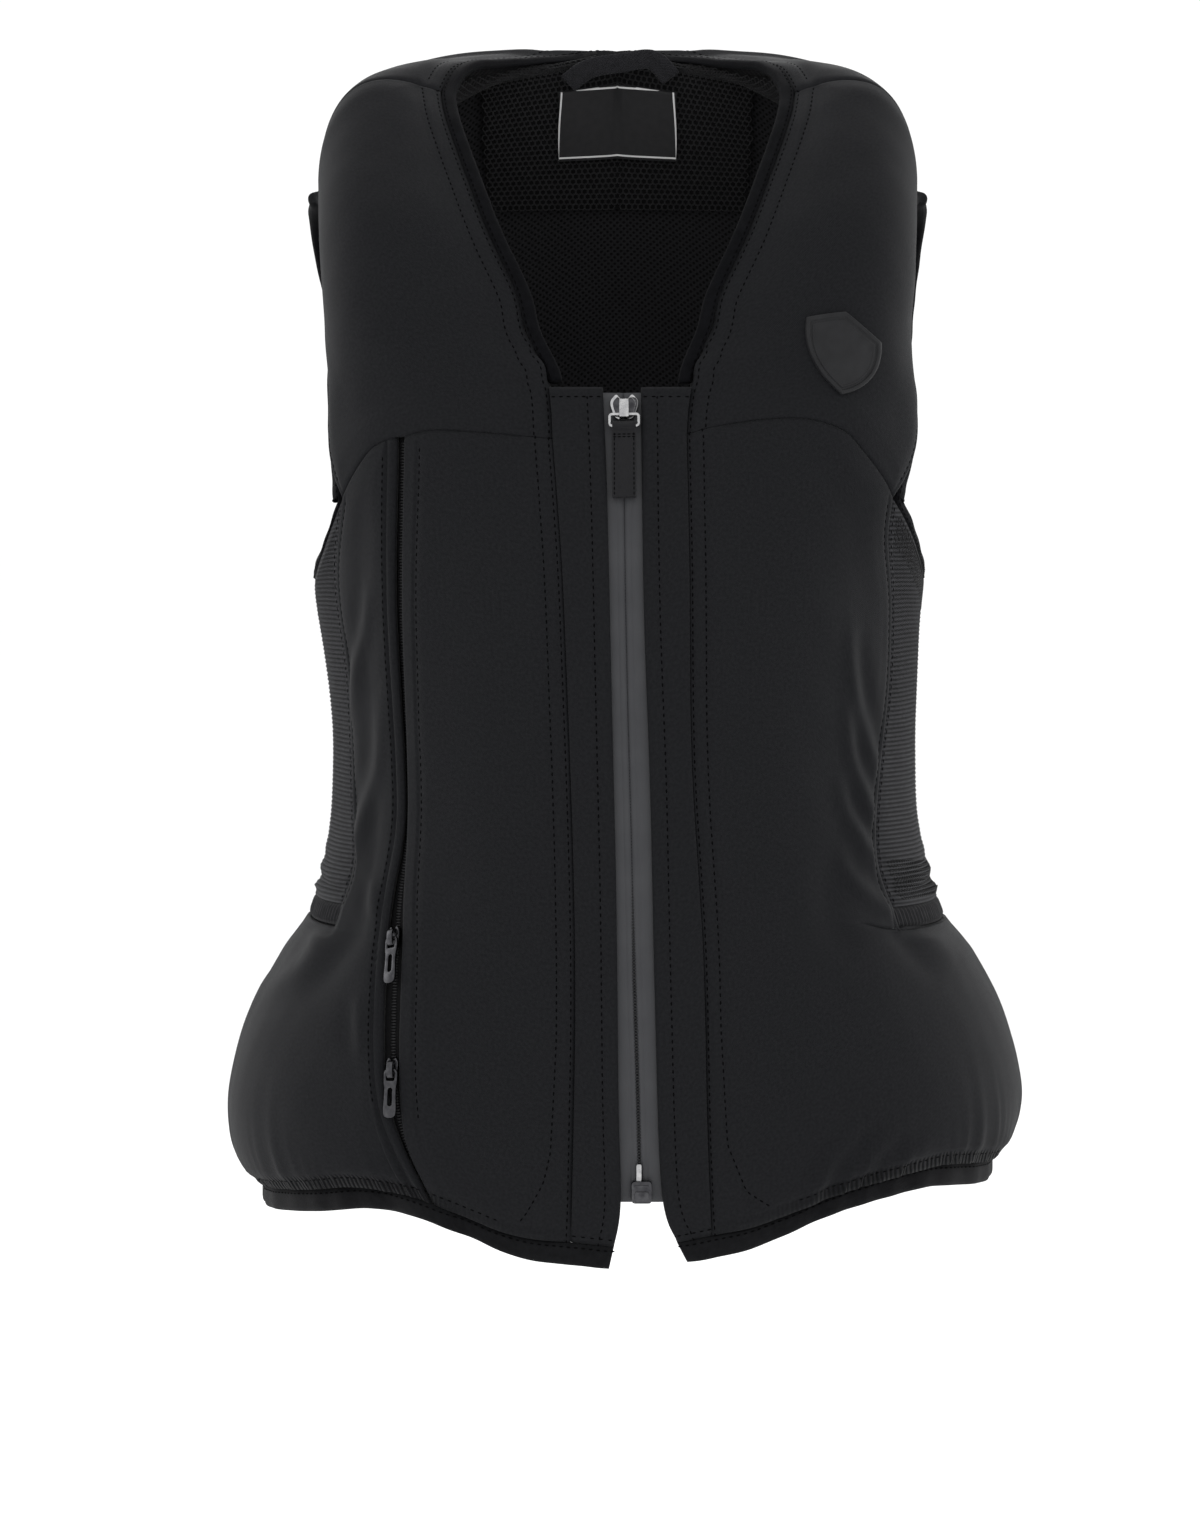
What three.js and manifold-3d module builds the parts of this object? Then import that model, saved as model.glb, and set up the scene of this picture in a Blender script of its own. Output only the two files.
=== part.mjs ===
// Airbag riding vest: sleeveless padded shell, front zip, stretch side panels and a gathered hem.
// Millimetres, +Z up. The wearer faces -Y and the wearer's right is -X.
// The origin is midway between the shoulders, at the height where the vest rests on them.
import * as THREE from "three";
import { mergeVertices } from "three/addons/utils/BufferGeometryUtils.js";
import Module from "manifold-3d";

const wasm = await Module();
wasm.setup();

// Driving dimensions of the sewing
const SEAM_GAP = 0.4; // between two pieces sewn edge to edge
const EDGE_THICKNESS = 4; // shell and lining together at an open edge
const SELVAGE = { width: 4, dip: 1.6, depth: 3.6, rise: 14 }; // flat margin beside a seam
const LEAST_WALL = 2;
const PLACKET_DEPTH = 2.6;
const TAPE = { depth: 3.2, thickness: 1.2, tuck: 3 };
const POCKET_TAPE = { depth: 4.8, thickness: 1.2, tuck: 0.3, topDrop: 3 };
const RIB_THICKNESS = 2.2;
const NECK_BINDING = { width: 6.6, thickness: 5.2, start: 0.2 };
const ARMHOLE_BINDING = { width: 6.4, thickness: 5 };
const HEM_BINDING = { width: 10.5, thickness: 5.6 };
const BINDING_GAP = 0.3; // between a bound edge and the strip that caps it
const SIDE_BAND = { low: 4.85, high: 5.17, depth: 0.9, thickness: 3.4, clear: 0.03 };
const GATHER = { depth: 1.2, rows: 2 };

// Sizes of the zips' hardware and the trims. "seat" is how far a piece stands off its tape.
const ZIP = { top: -99, bottom: -454, steps: 14 };
const MAIN_SLIDER = {
  x: 0.6, z: -107, seat: 0.7,
  width: 12.4, height: 11, body: 2.4, bridgeWidth: 4.2, hole: 2.6, roof: 1, ears: 1.6, hingeY: -3.2,
};
const RING = { width: 14.2, wire: 1.7, thickness: 1.5, reach: 5.2 };
const TAB = { width: 10.4, length: 32.6, thickness: 2.2, eye: 1.35, wall: 0.8 };
const MAIN_LEAN = THREE.MathUtils.degToRad(3);
const BOX = { width: 9, height: 10, thickness: 4, corner: 1.2, z: -449, offset: 0.8, seat: 0.3 };
const BOX_PIN = { width: 2.4, height: 9, thickness: 2.2, corner: 0.8, x: -1.2, y: 8 };
const POCKET_SLIDER = {
  seat: 0.3,
  width: 5.6, height: 9.4, body: 2.2, bridgeWidth: 2.8, hole: 2.6, roof: 1, ears: 0.6, hingeY: -0.6,
};
const POCKET_SLIDERS = [{ name: "upper", x: 102.4, z: -340.5 }, { name: "lower", x: 103, z: -397 }];
const PULL = {
  width: 6.4, length: 21, thickness: 1.5, bar: 1.5, rail: 1.2, window: 5.4,
  waist: 0.8, waistDrop: 3, foot: 0.6, footRise: 2,
  slot: { width: 2.2, height: 8, drop: 2.4 },
};
const PULL_LEAN = THREE.MathUtils.degToRad(-4);
const BADGE = {
  x: 97.5, z: -82, across: [33.7, -11.2], up: [2, 36.9], lift: 0.8, // its two axes in the front view
  underRings: [0, 0.6],
};
const BADGE_RINGS = table(
  "share height",
  [[1, 0], [1, 1.6], [0.97, 2.1], [0.88, 2.1], [0.85, 1.3], [0.45, 1.3], [0, 1.3]]);
const LABEL = { low: 12.88, high: 13.72, reach: 0.075, lift: 4.8, thickness: 0.8, steps: 3 };
const LOOP = { width: 10, thickness: 1.5, steps: 10, tip: Math.PI / 6 };
const LOOP_PATH = [[-25, 51.1, 46.5], [-15, 46.2, 53], [0, 44, 55.5], [14, 45.8, 57], [23, 51.1, 49]];

// Sections round the body, hem to bust. x and z are where the outline turns at the wearer's sides.
const TORSO = table(
  "midX yFront zFront yBack zBack xRight zRight xLeft zLeft square pad",
  [
    [8.0, -127, -478, 110, -463, 156, -468, 161, -454, 2.2, 6],
    [7.5, -132, -452, 117, -446, 177, -448, 179, -436, 2.35, 16],
    [7.0, -134, -424, 120, -420, 182, -422, 184, -416, 2.5, 26],
    [6.0, -134, -388, 117, -386, 174, -386, 177, -383, 2.45, 22],
    [5.0, -134, -357, 111, -356, 158, -355, 163, -355, 2.4, 14],
    [4.5, -133, -334, 106, -334, 144, -333, 148, -334, 2.35, 10],
    [3.5, -132, -290, 101, -290, 135, -290, 137, -290, 2.4, 10],
    [2.0, -131, -236, 103, -236, 135, -236, 136, -236, 2.45, 11],
    [1.0, -128, -188, 112, -188, 142, -188, 139, -188, 2.4, 12],
  ]);

// Sections of the front straps, chest to shoulder seam. "In" is the neck edge, "Out" the armhole edge,
// and "shift" moves both sides of the strap sideways.
const FRONT_STRAP = table(
  "shift xIn yIn zIn xOut yOut zOut square crown pad",
  [
    [0.5, 0, -117, -146, 140, -28, -146, 2.3, 2, 14],
    [0.0, 0, -100, -95, 132, -46, -104, 2.4, 6, 18],
    [-2, 37, -92.5, -78, 131, -34, -72, 2.5, 11, 24],
    [-2, 45.5, -83, -54, 133, -24, -46, 2.45, 14, 30],
    [-2, 58.3, -69, -26, 135, -15, -24, 2.4, 14, 34.5],
    [-2, 69.5, -45, 3, 136, -8, -11, 2.3, 13, 37],
    [-2, 78, -22.5, 27, 136.5, -3, -6, 2.2, 12, 39.2],
    [-2, 81, -5, 41, 136, 1, -4, 2.2, 12, 41],
  ]);

// Sections of the back yoke, shoulder blades to shoulder seam, fanning round the back of the neck.
// "spine" is 1 where the padding runs on across the middle of the back.
const BACK_STRAP = table(
  "shift xIn yIn zIn xOut yOut zOut square crown pad spine",
  [
    [0, 0, 117, -146, 137, 40, -140, 2.3, 0, 16, 1],
    [0, 0, 119, -98, 134, 54, -96, 2.4, 0, 18, 1],
    [-1, 0, 113, -52, 135, 56, -56, 2.5, 2, 22, 1],
    [-2, 0, 100, -8, 137, 52, -32, 2.6, 4, 26, 0.9],
    [-2, 0, 84, 28, 138, 42, -17, 2.7, 6, 30, 0.5],
    [-2, 0, 67, 61, 138, 33, -12, 2.8, 8, 34, 0],
    [-2, 29, 59, 60.5, 137.5, 25, -10, 2.6, 6, 34, 0],
    [-2, 54, 42, 57.5, 137, 17, -8, 2.35, 5, 35, 0],
    [-2, 73, 16, 54, 136.5, 9, -6, 2.2, 6, 37, 0],
    [-2, 81, -5, 41, 136, 1, -4, 2.2, 12, 41, 0],
  ]);
const FRONT_TOP = TORSO.length + FRONT_STRAP.length - 1;
const BACK_TOP = TORSO.length + BACK_STRAP.length - 1;
const BACK_NECK = 14; // section of the back that meets the middle of the neck edge
const BACK_HEM = 0.15; // section at which the back's hem crosses the middle
const LINING = {
  lift: 2.2,
  thickness: 2,
  levels: [12.2, 13, BACK_NECK, 15, 16, 17, 17.85],
  shares: [0, 0.04, 0.08, 0.13, 0.18, 0.23],
  inset: 0.012,
};

// Seams of the front, in the front view: x outwards from the median plane, z up.
const SEAMS = {
  right: {
    zipEdge: [[9, -97], [7, -147], [5, -234], [3, -321], [2, -408], [1, -454], [4, -474]],
    placket: [[31, -120], [27, -173], [25, -216], [22, -299], [21, -365], [22, -431], [23, -472]],
    notch: [[31, -120], [31.6, -108], [32.8, -97]],
    neck: [[34.6, -90], [39, -78], [43, -67]],
    yoke: [[31, -120], [63, -117], [85, -116], [100, -119], [112, -124], [121, -136], [126, -146]],
    rib: [[126, -146], [129, -174], [126, -210], [123, -246], [122, -282], [121, -308]],
    hem: [[23, -472], [40, -471], [54, -468], [67, -463], [84, -457], [98, -453], [121, -451], [145, -455]],
    sideHem: -460,
  },
  left: {
    zipEdge: [[8, -97], [9, -190], [12, -277], [14, -365], [17, -448], [24, -472]],
    placket: [[28, -118], [29, -173], [30, -260], [35, -343], [37, -422], [39, -469]],
    notch: [[28, -118], [28.8, -107], [30.4, -97]],
    neck: [[32, -90], [35.2, -78], [39.2, -67]],
    yoke: [[28, -118], [43, -114], [65, -111], [82, -111], [98, -116], [107, -125], [117, -138],
      [121, -146]],
    rib: [[121, -146], [119, -164], [121, -192], [120, -228], [116, -264], [114, -305]],
    hem: [[39, -469], [56, -466], [72, -461], [100, -451], [133, -444], [152, -443]],
    sideHem: -445.5,
  },
};
const ARMHOLE_TURN = [0.93, 10]; // where the armhole edge leaves the strap's outer edge
const BACK_RIB_EDGE = 0.69; // how far round the back the stretch panel reaches
const ARMPIT = [[0.82, 8.35], [1, 8.08]];

// Pocket zip in the wearer's right front: place of its middle and half the gap between its lips.
const POCKET = table(
  "x z half",
  [
    [99.5, -119, 2.5],
    [100.5, -191, 2.4],
    [97.5, -262, 1.4],
    [97.5, -292, 1.4],
    [101, -322, 3],
    [102.5, -346, 4],
    [103.5, -386, 4],
    [102, -412, 3],
    [97, -432, 1.4],
    [85, -456.5, 0.8],
  ]);

// Soft folds of the shell in the front view, from one end to the other, raised or sunk.
const FOLDS = table(
  "xFrom zFrom xTo zTo width height",
  [
    [-116, -196, -108, -330, 7, 3],
    [-124, -215, -117, -318, 6, -2.5],
    [-118, -335, -158, -372, 9, 2.5],
    [-112, -352, -140, -405, 8, -2],
    [96, -196, 108, -312, 8, 3],
    [104, -228, 112, -330, 7, -2.5],
    [110, -332, 158, -366, 9, 2.5],
    [84, -425, 150, -432, 10, -2],
  ]);

// Grid steps of the sewn panels
const STEPS = {
  notch: 2, neck: 9, side: 5, band: 4, rib: 8, frontRight: 6, sideFront: 9, frontLeft: 14, placket: 2,
  back: 10, shoulder: 5, pocket: 16,
};
STEPS.body = STEPS.side + STEPS.band + 1 + STEPS.rib;
// Shares of a front seam's length at which it passes below, beside and above the side band
const BESIDE_BAND = { below: 0.27, corner: 0.335, above: 0.385 };
// The same levels in the middle of the back, as sections
const BACK_BESIDE_BAND = { below: SIDE_BAND.low - 0.6, corner: SIDE_BAND.low - 0.1 };
const NOTCH_SHARE = 0.935; // share of the placket's length that lies below the yoke seam
const SAME_POINT = 6; // edge points nearer than this are one corner
// Section of a binding strip: across the edge and through its thickness, as shares of its size
const BINDING_SECTION = [[-0.5, -0.3], [-0.32, -0.5], [0.32, -0.5], [0.5, -0.22], [0.5, 0.22], [0.32, 0.5],
  [-0.32, 0.5], [-0.5, 0.3]];
// Where the shell turns towards: the median line of the torso, sinking below the shoulders' pads
const CORE = {
  riseFrom: -150, riseTo: 40, drop: 120, backFrom: 10, backTo: 60, backShare: 0.6, low: 0.3, spread: 0.62,
};

const COLOURS = {
  shell: 0x1b1c1f,
  binding: 0x15161b,
  rib: 0x3a3b3d,
  mesh: 0x26272a,
  tape: 0x47484c,
  coil: 0x101113,
  metal: 0x9a9a9c,
  gunmetal: 0x2a2b2e,
  webbing: 0x1d1e22,
  rubber: 0x2b2c2f,
  label: 0x141518,
};

function table(columns, rows) {
  const names = columns.split(" ");
  return rows.map((row) => Object.fromEntries(names.map((name, i) => [name, row[i]])));
}

// Smooth value of one column between the rows of a table.
function between(rows, key, t) {
  const last = rows.length - 1;
  const i = THREE.MathUtils.clamp(Math.floor(t), 0, last - 1);
  const f = t - i;
  const b = rows[i][key];
  const c = rows[i + 1][key];
  const a = i > 0 ? rows[i - 1][key] : 2 * b - c;
  const d = i + 2 <= last ? rows[i + 2][key] : 2 * c - b;
  const slopeIn = (c - a) / 2;
  const slopeOut = (d - b) / 2;
  const square = 3 * (c - b) - 2 * slopeIn - slopeOut;
  const cube = 2 * (b - c) + slopeIn + slopeOut;
  return b + f * (slopeIn + f * (square + f * cube));
}

function makeSide(name, sign) {
  const x = name === "right" ? "xRight" : "xLeft";
  const z = name === "right" ? "zRight" : "zLeft";
  const round = (r) => ({ xOut: sign * r[x], yOut: 0, zOut: r[z], square: r.square, crown: 0, pad: r.pad });
  const strap = (r) => ({ ...r, xIn: r.shift + sign * r.xIn, xOut: r.shift + sign * r.xOut });
  const front = [
    ...TORSO.map((r) => ({ ...round(r), xIn: r.midX, yIn: r.yFront, zIn: r.zFront, spine: 0 })),
    ...FRONT_STRAP.map((r) => ({ ...strap(r), spine: 0 })),
  ];
  const back = [
    ...TORSO.map((r) => ({ ...round(r), xIn: 0, yIn: r.yBack, zIn: r.zBack, spine: 1 })),
    ...BACK_STRAP.map(strap),
  ];
  return { name, sign, front, back, seams: SEAMS[name] };
}
const RIGHT = makeSide("right", -1);
const LEFT = makeSide("left", 1);

// Direction from the shell towards the body: level on the torso, turning down at the shoulders.
function inward(p) {
  const rise = THREE.MathUtils.smoothstep(p.z, CORE.riseFrom, CORE.riseTo);
  const upright = 1 - CORE.backShare * THREE.MathUtils.smoothstep(p.y, CORE.backFrom, CORE.backTo);
  const x = p.x * (CORE.low + CORE.spread * rise);
  const core = new THREE.Vector3(x, 0, p.z - CORE.drop * rise * upright);
  return core.sub(p).normalize();
}

function foldHeight(p) {
  let height = 0;
  for (const fold of FOLDS) {
    const from = new THREE.Vector2(fold.xFrom, fold.zFrom);
    const along = new THREE.Vector2(fold.xTo, fold.zTo).sub(from);
    const here = new THREE.Vector2(p.x, p.z).sub(from);
    const f = here.dot(along) / along.lengthSq();
    const away = here.addScaledVector(along, -THREE.MathUtils.clamp(f, 0, 1)).length();
    const taper = Math.sin(Math.PI * THREE.MathUtils.clamp(f, 0, 1));
    height += fold.height * taper * Math.exp(-((away / fold.width) ** 2));
  }
  return height;
}

// Point on the shell: s runs from the middle (0) to the side (1), t counts up the sections.
function shell(rows, s, t) {
  const value = (key) => between(rows, key, t);
  const turn = THREE.MathUtils.clamp(s, 0, 1) * Math.PI / 2;
  const power = 2 / value("square");
  const across = Math.sin(turn) ** power;
  const round = 1 - Math.max(Math.cos(turn), 0) ** power;
  const mix = (from, to, share) => value(from) + (value(to) - value(from)) * share;
  const x = mix("xIn", "xOut", across);
  const p = new THREE.Vector3(x, mix("yIn", "yOut", round), mix("zIn", "zOut", round));
  return p.addScaledVector(inward(p), -value("crown") * Math.sin(2 * turn));
}

function padding(rows, s, t) {
  const spine = between(rows, "spine", t);
  const turn = THREE.MathUtils.clamp(s, 0, 1) * Math.PI / 2;
  const pillow = Math.max(Math.sin(2 * turn), 0) ** 0.6;
  const slab = Math.max(Math.cos(turn), 0) ** 0.5;
  return EDGE_THICKNESS + (between(rows, "pad", t) - EDGE_THICKNESS) * (pillow + (slab - pillow) * spine);
}

function bisect(f, low, high) {
  for (let i = 0; i < 32; i++) {
    const mid = (low + high) / 2;
    if (f(mid) < 0) low = mid;
    else high = mid;
  }
  return (low + high) / 2;
}

// Place on a side's front shell that shows at x, z in the front view.
function findFront(side, x, z) {
  const sAt = (t) => bisect((s) => side.sign * shell(side.front, s, t).x - x, 0, 1);
  const t = bisect((level) => shell(side.front, sAt(level), level).z - z, 0, FRONT_TOP);
  return [sAt(t), t];
}

function seam(side, points, shares) {
  const curve = new THREE.SplineCurve(points.map(([x, z]) => new THREE.Vector2(x, z)));
  return shares.map((share) => curve.getPointAt(share)).map((q) => findFront(side, q.x, q.y));
}

function evenShares(steps, from = 0, to = 1) {
  return Array.from({ length: steps + 1 }, (_, i) => from + (to - from) * i / steps);
}

function straight(from, to, steps) {
  const places = [];
  for (let i = 0; i <= steps; i++) {
    const f = i / steps;
    places.push([from[0] + (to[0] - from[0]) * f, from[1] + (to[1] - from[1]) * f]);
  }
  return places;
}

// One run of places through several stretches that share their end points.
function chain(...runs) {
  return runs.flatMap((run, i) => (i === 0 ? run : run.slice(1)));
}

// Shares of a body seam that keep its steps level with those of the side edge.
function bodyShares() {
  const { below, corner, above } = BESIDE_BAND;
  return chain(evenShares(STEPS.side, 0, below), evenShares(STEPS.band, below, corner), [corner, above],
    evenShares(STEPS.rib, above, 1));
}

function throughPlaces(places, steps) {
  const curve = new THREE.SplineCurve(places.map(([s, t]) => new THREE.Vector2(s, t)));
  return curve.getSpacedPoints(steps).map((q) => [q.x, q.y]);
}

// Grid of places inside four edges. Edges run from the middle outwards and from below upwards.
function fillEdges({ bottom, top, inner, outer }) {
  const across = bottom.length - 1;
  const up = inner.length - 1;
  return inner.map((_, j) => bottom.map((__, i) => [0, 1].map((k) => {
    const u = i / across;
    const v = j / up;
    const ruled = (1 - v) * bottom[i][k] + v * top[i][k] + (1 - u) * inner[j][k] + u * outer[j][k];
    const corners = (1 - u) * ((1 - v) * bottom[0][k] + v * top[0][k])
      + u * ((1 - v) * bottom[across][k] + v * top[across][k]);
    return ruled - corners;
  })));
}

// Distance of every grid point from the panel's edges that are sewn flat.
function edgeDistance(grid, edges) {
  const up = grid.length - 1;
  const across = grid[0].length - 1;
  return grid.map((row, j) => row.map((p, i) => {
    let least = Infinity;
    if (edges.includes("inner")) least = Math.min(least, p.distanceTo(row[0]));
    if (edges.includes("outer")) least = Math.min(least, p.distanceTo(row[across]));
    if (edges.includes("bottom")) least = Math.min(least, p.distanceTo(grid[0][i]));
    if (edges.includes("top")) least = Math.min(least, p.distanceTo(grid[up][i]));
    return least;
  }));
}

// Draws the outermost grid points back by half a seam gap.
function trimEdges(grid, amount) {
  const up = grid.length - 1;
  const across = grid[0].length - 1;
  const pull = (p, q) => q.clone().sub(p).setLength(amount);
  const moved = grid.map((row) => row.map((p) => p.clone()));
  for (let j = 0; j <= up; j++) {
    moved[j][0].add(pull(grid[j][0], grid[j][1]));
    moved[j][across].add(pull(grid[j][across], grid[j][across - 1]));
  }
  for (let i = 0; i <= across; i++) {
    moved[0][i].add(pull(grid[0][i], grid[1][i]));
    moved[up][i].add(pull(grid[up][i], grid[up - 1][i]));
  }
  return moved;
}

// Padded panel: outer and inner grids over places on the shell.
function padPanel(rows, places, { flat = [], gather = false, folds = true }) {
  const base = places.map((row) => row.map(([s, t]) => shell(rows, s, t)));
  const away = edgeDistance(base, flat);
  const outer = [];
  const inner = [];
  base.forEach((row, j) => {
    outer.push([]);
    inner.push([]);
    row.forEach((p, i) => {
      const [s, t] = places[j][i];
      const rise = THREE.MathUtils.smoothstep(away[j][i] - SELVAGE.width, 0, SELVAGE.rise);
      const puff = THREE.MathUtils.smoothstep(away[j][i], 0, SELVAGE.rise);
      const gathered = gather ? Math.max(1 - j / GATHER.rows, 0) : 0;
      const ripple = GATHER.depth * gathered * (i % 2 ? 1 : -1);
      const fold = folds ? foldHeight(p) * puff : 0;
      const toBody = inward(p);
      const skin = SELVAGE.dip * (1 - puff) - fold + ripple;
      const lining = SELVAGE.depth + (padding(rows, s, t) - SELVAGE.depth) * rise + ripple;
      outer[j].push(p.clone().addScaledVector(toBody, skin));
      inner[j].push(p.clone().addScaledVector(toBody, Math.max(lining, skin + LEAST_WALL)));
    });
  });
  return { outer: trimEdges(outer, SEAM_GAP / 2), inner: trimEdges(inner, SEAM_GAP / 2) };
}

// Thin panel of even thickness at a depth below the shell.
function thinPanel(rowsAt, places, depth, thickness) {
  const lay = (sink) => places.map((row) => row.map(([s, t]) => {
    const [rows, share] = rowsAt(s);
    const p = shell(rows, share, t);
    return p.addScaledVector(inward(p), sink);
  }));
  const [outer, inner] = [lay(depth), lay(depth + thickness)];
  return { outer: trimEdges(outer, SEAM_GAP / 2), inner: trimEdges(inner, SEAM_GAP / 2) };
}

// Closed wall between two grids. The first "joined" steps of the inner edge are left open, to be welded.
function wallTriangles({ outer, inner }, joined = 0) {
  const corners = [];
  const quad = (a, b, c, d) => corners.push(a, b, c, a, c, d);
  const up = outer.length - 1;
  const across = outer[0].length - 1;
  for (let j = 0; j < up; j++) {
    for (let i = 0; i < across; i++) {
      quad(outer[j][i], outer[j][i + 1], outer[j + 1][i + 1], outer[j + 1][i]);
      quad(inner[j][i], inner[j + 1][i], inner[j + 1][i + 1], inner[j][i + 1]);
    }
    if (j >= joined) quad(outer[j][0], outer[j + 1][0], inner[j + 1][0], inner[j][0]);
    quad(outer[j + 1][across], outer[j][across], inner[j][across], inner[j + 1][across]);
  }
  for (let i = 0; i < across; i++) {
    quad(outer[0][i + 1], outer[0][i], inner[0][i], inner[0][i + 1]);
    quad(outer[up][i], outer[up][i + 1], inner[up][i + 1], inner[up][i]);
  }
  return corners;
}

function signedVolume(corners) {
  let sum = 0;
  for (let k = 0; k < corners.length; k += 3) {
    sum += corners[k].dot(corners[k + 1].clone().cross(corners[k + 2]));
  }
  return sum / 6;
}

function faceOut(corners) {
  if (signedVolume(corners) > 0) return corners;
  const turned = [];
  for (let k = 0; k < corners.length; k += 3) turned.push(corners[k], corners[k + 2], corners[k + 1]);
  return turned;
}

function closedGeometry(corners) {
  const soup = new THREE.BufferGeometry().setFromPoints(corners);
  const geometry = mergeVertices(soup, 1e-3);
  geometry.computeVertexNormals();
  return geometry;
}

function wallGeometry(grids) {
  return closedGeometry(faceOut(wallTriangles(grids)));
}

// Two mirrored halves welded along the middle of the back.
function weldedGeometry(halves, joined) {
  return closedGeometry(halves.flatMap((half) => faceOut(wallTriangles(half, joined))));
}

// Edge of a panel as middle points with the directions away from the panel and out of its face.
function edgeLine({ outer, inner }, edge) {
  const up = outer.length - 1;
  const across = outer[0].length - 1;
  const cell = {
    inner: (k) => [k, 0, k, 1],
    outer: (k) => [k, across, k, across - 1],
    bottom: (k) => [0, k, 1, k],
    top: (k) => [up, k, up - 1, k],
  }[edge];
  const count = edge === "inner" || edge === "outer" ? up : across;
  const line = [];
  for (let k = 0; k <= count; k++) {
    const [j, i, jn, iN] = cell(k);
    const middle = outer[j][i].clone().lerp(inner[j][i], 0.5);
    const inside = outer[jn][iN].clone().lerp(inner[jn][iN], 0.5);
    const out = outer[j][i].clone().sub(inner[j][i]).normalize();
    const away = middle.clone().sub(inside);
    away.addScaledVector(out, -away.dot(out)).normalize();
    line.push({ middle, away, out });
  }
  return line;
}

// Puts edge lines end to end. Points that nearly coincide become one.
function joinLines(lines, closed) {
  const joined = [];
  const merge = (a, b) => {
    a.middle.lerp(b.middle, 0.5);
    a.away.add(b.away).normalize();
    a.out.add(b.out).normalize();
  };
  for (const point of lines.flat()) {
    const last = joined[joined.length - 1];
    if (last && last.middle.distanceTo(point.middle) < SAME_POINT) merge(last, point);
    else joined.push(point);
  }
  const [first, last] = [joined[0], joined[joined.length - 1]];
  if (closed && first.middle.distanceTo(last.middle) < SAME_POINT) merge(first, joined.pop());
  return joined;
}

// Binding strip that caps an edge line: a flat section with rounded long edges.
function bindingGeometry(line, { width, thickness }, closed) {
  const rings = line.map(({ middle, away, out }) => BINDING_SECTION.map(([a, b]) => middle.clone()
    .addScaledVector(away, BINDING_GAP + width * (a + 0.5))
    .addScaledVector(out, thickness * b)));
  return sweptGeometry(rings, closed);
}

function sweptGeometry(rings, closed) {
  const corners = [];
  const sides = rings[0].length;
  const steps = closed ? rings.length : rings.length - 1;
  for (let k = 0; k < steps; k++) {
    const a = rings[k];
    const b = rings[(k + 1) % rings.length];
    for (let m = 0; m < sides; m++) {
      const n = (m + 1) % sides;
      corners.push(a[m], a[n], b[n], a[m], b[n], b[m]);
    }
  }
  if (!closed) {
    for (let m = 1; m < sides - 1; m++) {
      corners.push(rings[0][0], rings[0][m + 1], rings[0][m]);
      corners.push(rings[steps][0], rings[steps][m], rings[steps][m + 1]);
    }
  }
  return closedGeometry(faceOut(corners));
}

// Joining and cutting of the small hard pieces
function toSolid(geometry) {
  const bare = geometry.clone();
  bare.deleteAttribute("normal");
  bare.deleteAttribute("uv");
  const merged = mergeVertices(bare, 1e-4);
  return new wasm.Manifold(new wasm.Mesh({
    numProp: 3,
    vertProperties: new Float32Array(merged.attributes.position.array),
    triVerts: new Uint32Array(merged.index.array),
  }));
}

function toGeometry(solid) {
  const mesh = solid.getMesh();
  const geometry = new THREE.BufferGeometry();
  geometry.setAttribute("position", new THREE.BufferAttribute(new Float32Array(mesh.vertProperties), 3));
  geometry.setIndex(new THREE.BufferAttribute(new Uint32Array(mesh.triVerts), 1));
  geometry.computeVertexNormals();
  return geometry;
}

function outline(points) {
  return new THREE.Shape(points.map(([x, y]) => new THREE.Vector2(x, y)));
}

function roundedRectangle(width, height, radius, centreX = 0, centreY = 0) {
  const [x, y] = [centreX - width / 2, centreY - height / 2];
  const shape = new THREE.Shape();
  shape.moveTo(x + radius, y);
  shape.lineTo(x + width - radius, y);
  shape.quadraticCurveTo(x + width, y, x + width, y + radius);
  shape.lineTo(x + width, y + height - radius);
  shape.quadraticCurveTo(x + width, y + height, x + width - radius, y + height);
  shape.lineTo(x + radius, y + height);
  shape.quadraticCurveTo(x, y + height, x, y + height - radius);
  shape.lineTo(x, y + radius);
  shape.quadraticCurveTo(x, y, x + radius, y);
  return shape;
}

function plate(shape, bottom, top) {
  const options = { depth: top - bottom, bevelEnabled: false, curveSegments: 3 };
  return new THREE.ExtrudeGeometry(shape, options).translate(0, 0, bottom);
}

// Side profile (along the zip, out of the cloth) drawn out across the zip.
function acrossZip(shape, width) {
  const turn = new THREE.Matrix4().makeBasis(
    new THREE.Vector3(0, 1, 0), new THREE.Vector3(0, 0, 1), new THREE.Vector3(1, 0, 0));
  const options = { depth: width, bevelEnabled: false, curveSegments: 5 };
  return new THREE.ExtrudeGeometry(shape, options).translate(0, 0, -width / 2).applyMatrix4(turn);
}

const vest = new THREE.Group();

function addPiece(name, geometry, colour, roughness = 0.85, metalness = 0, parent = vest) {
  const material = new THREE.MeshStandardMaterial({ color: colour, roughness, metalness });
  const mesh = new THREE.Mesh(geometry, material);
  mesh.name = name;
  parent.add(mesh);
  return mesh;
}

// Group standing on the shell: x to the wearer's left, y up along the cloth, z out of it.
function stand(side, x, z, depth) {
  const at = (dx, dz) => {
    const [s, t] = findFront(side, x + dx, z + dz);
    const p = shell(side.front, s, t);
    return p.addScaledVector(inward(p), depth);
  };
  const up = at(0, 4).sub(at(0, -4)).normalize();
  const level = at(3, 0).sub(at(0, 0)).multiplyScalar(side.sign);
  const out = level.cross(up).normalize();
  const group = new THREE.Group();
  group.quaternion.setFromRotationMatrix(new THREE.Matrix4().makeBasis(up.clone().cross(out), up, out));
  group.position.copy(at(0, 0));
  vest.add(group);
  return group;
}

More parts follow.
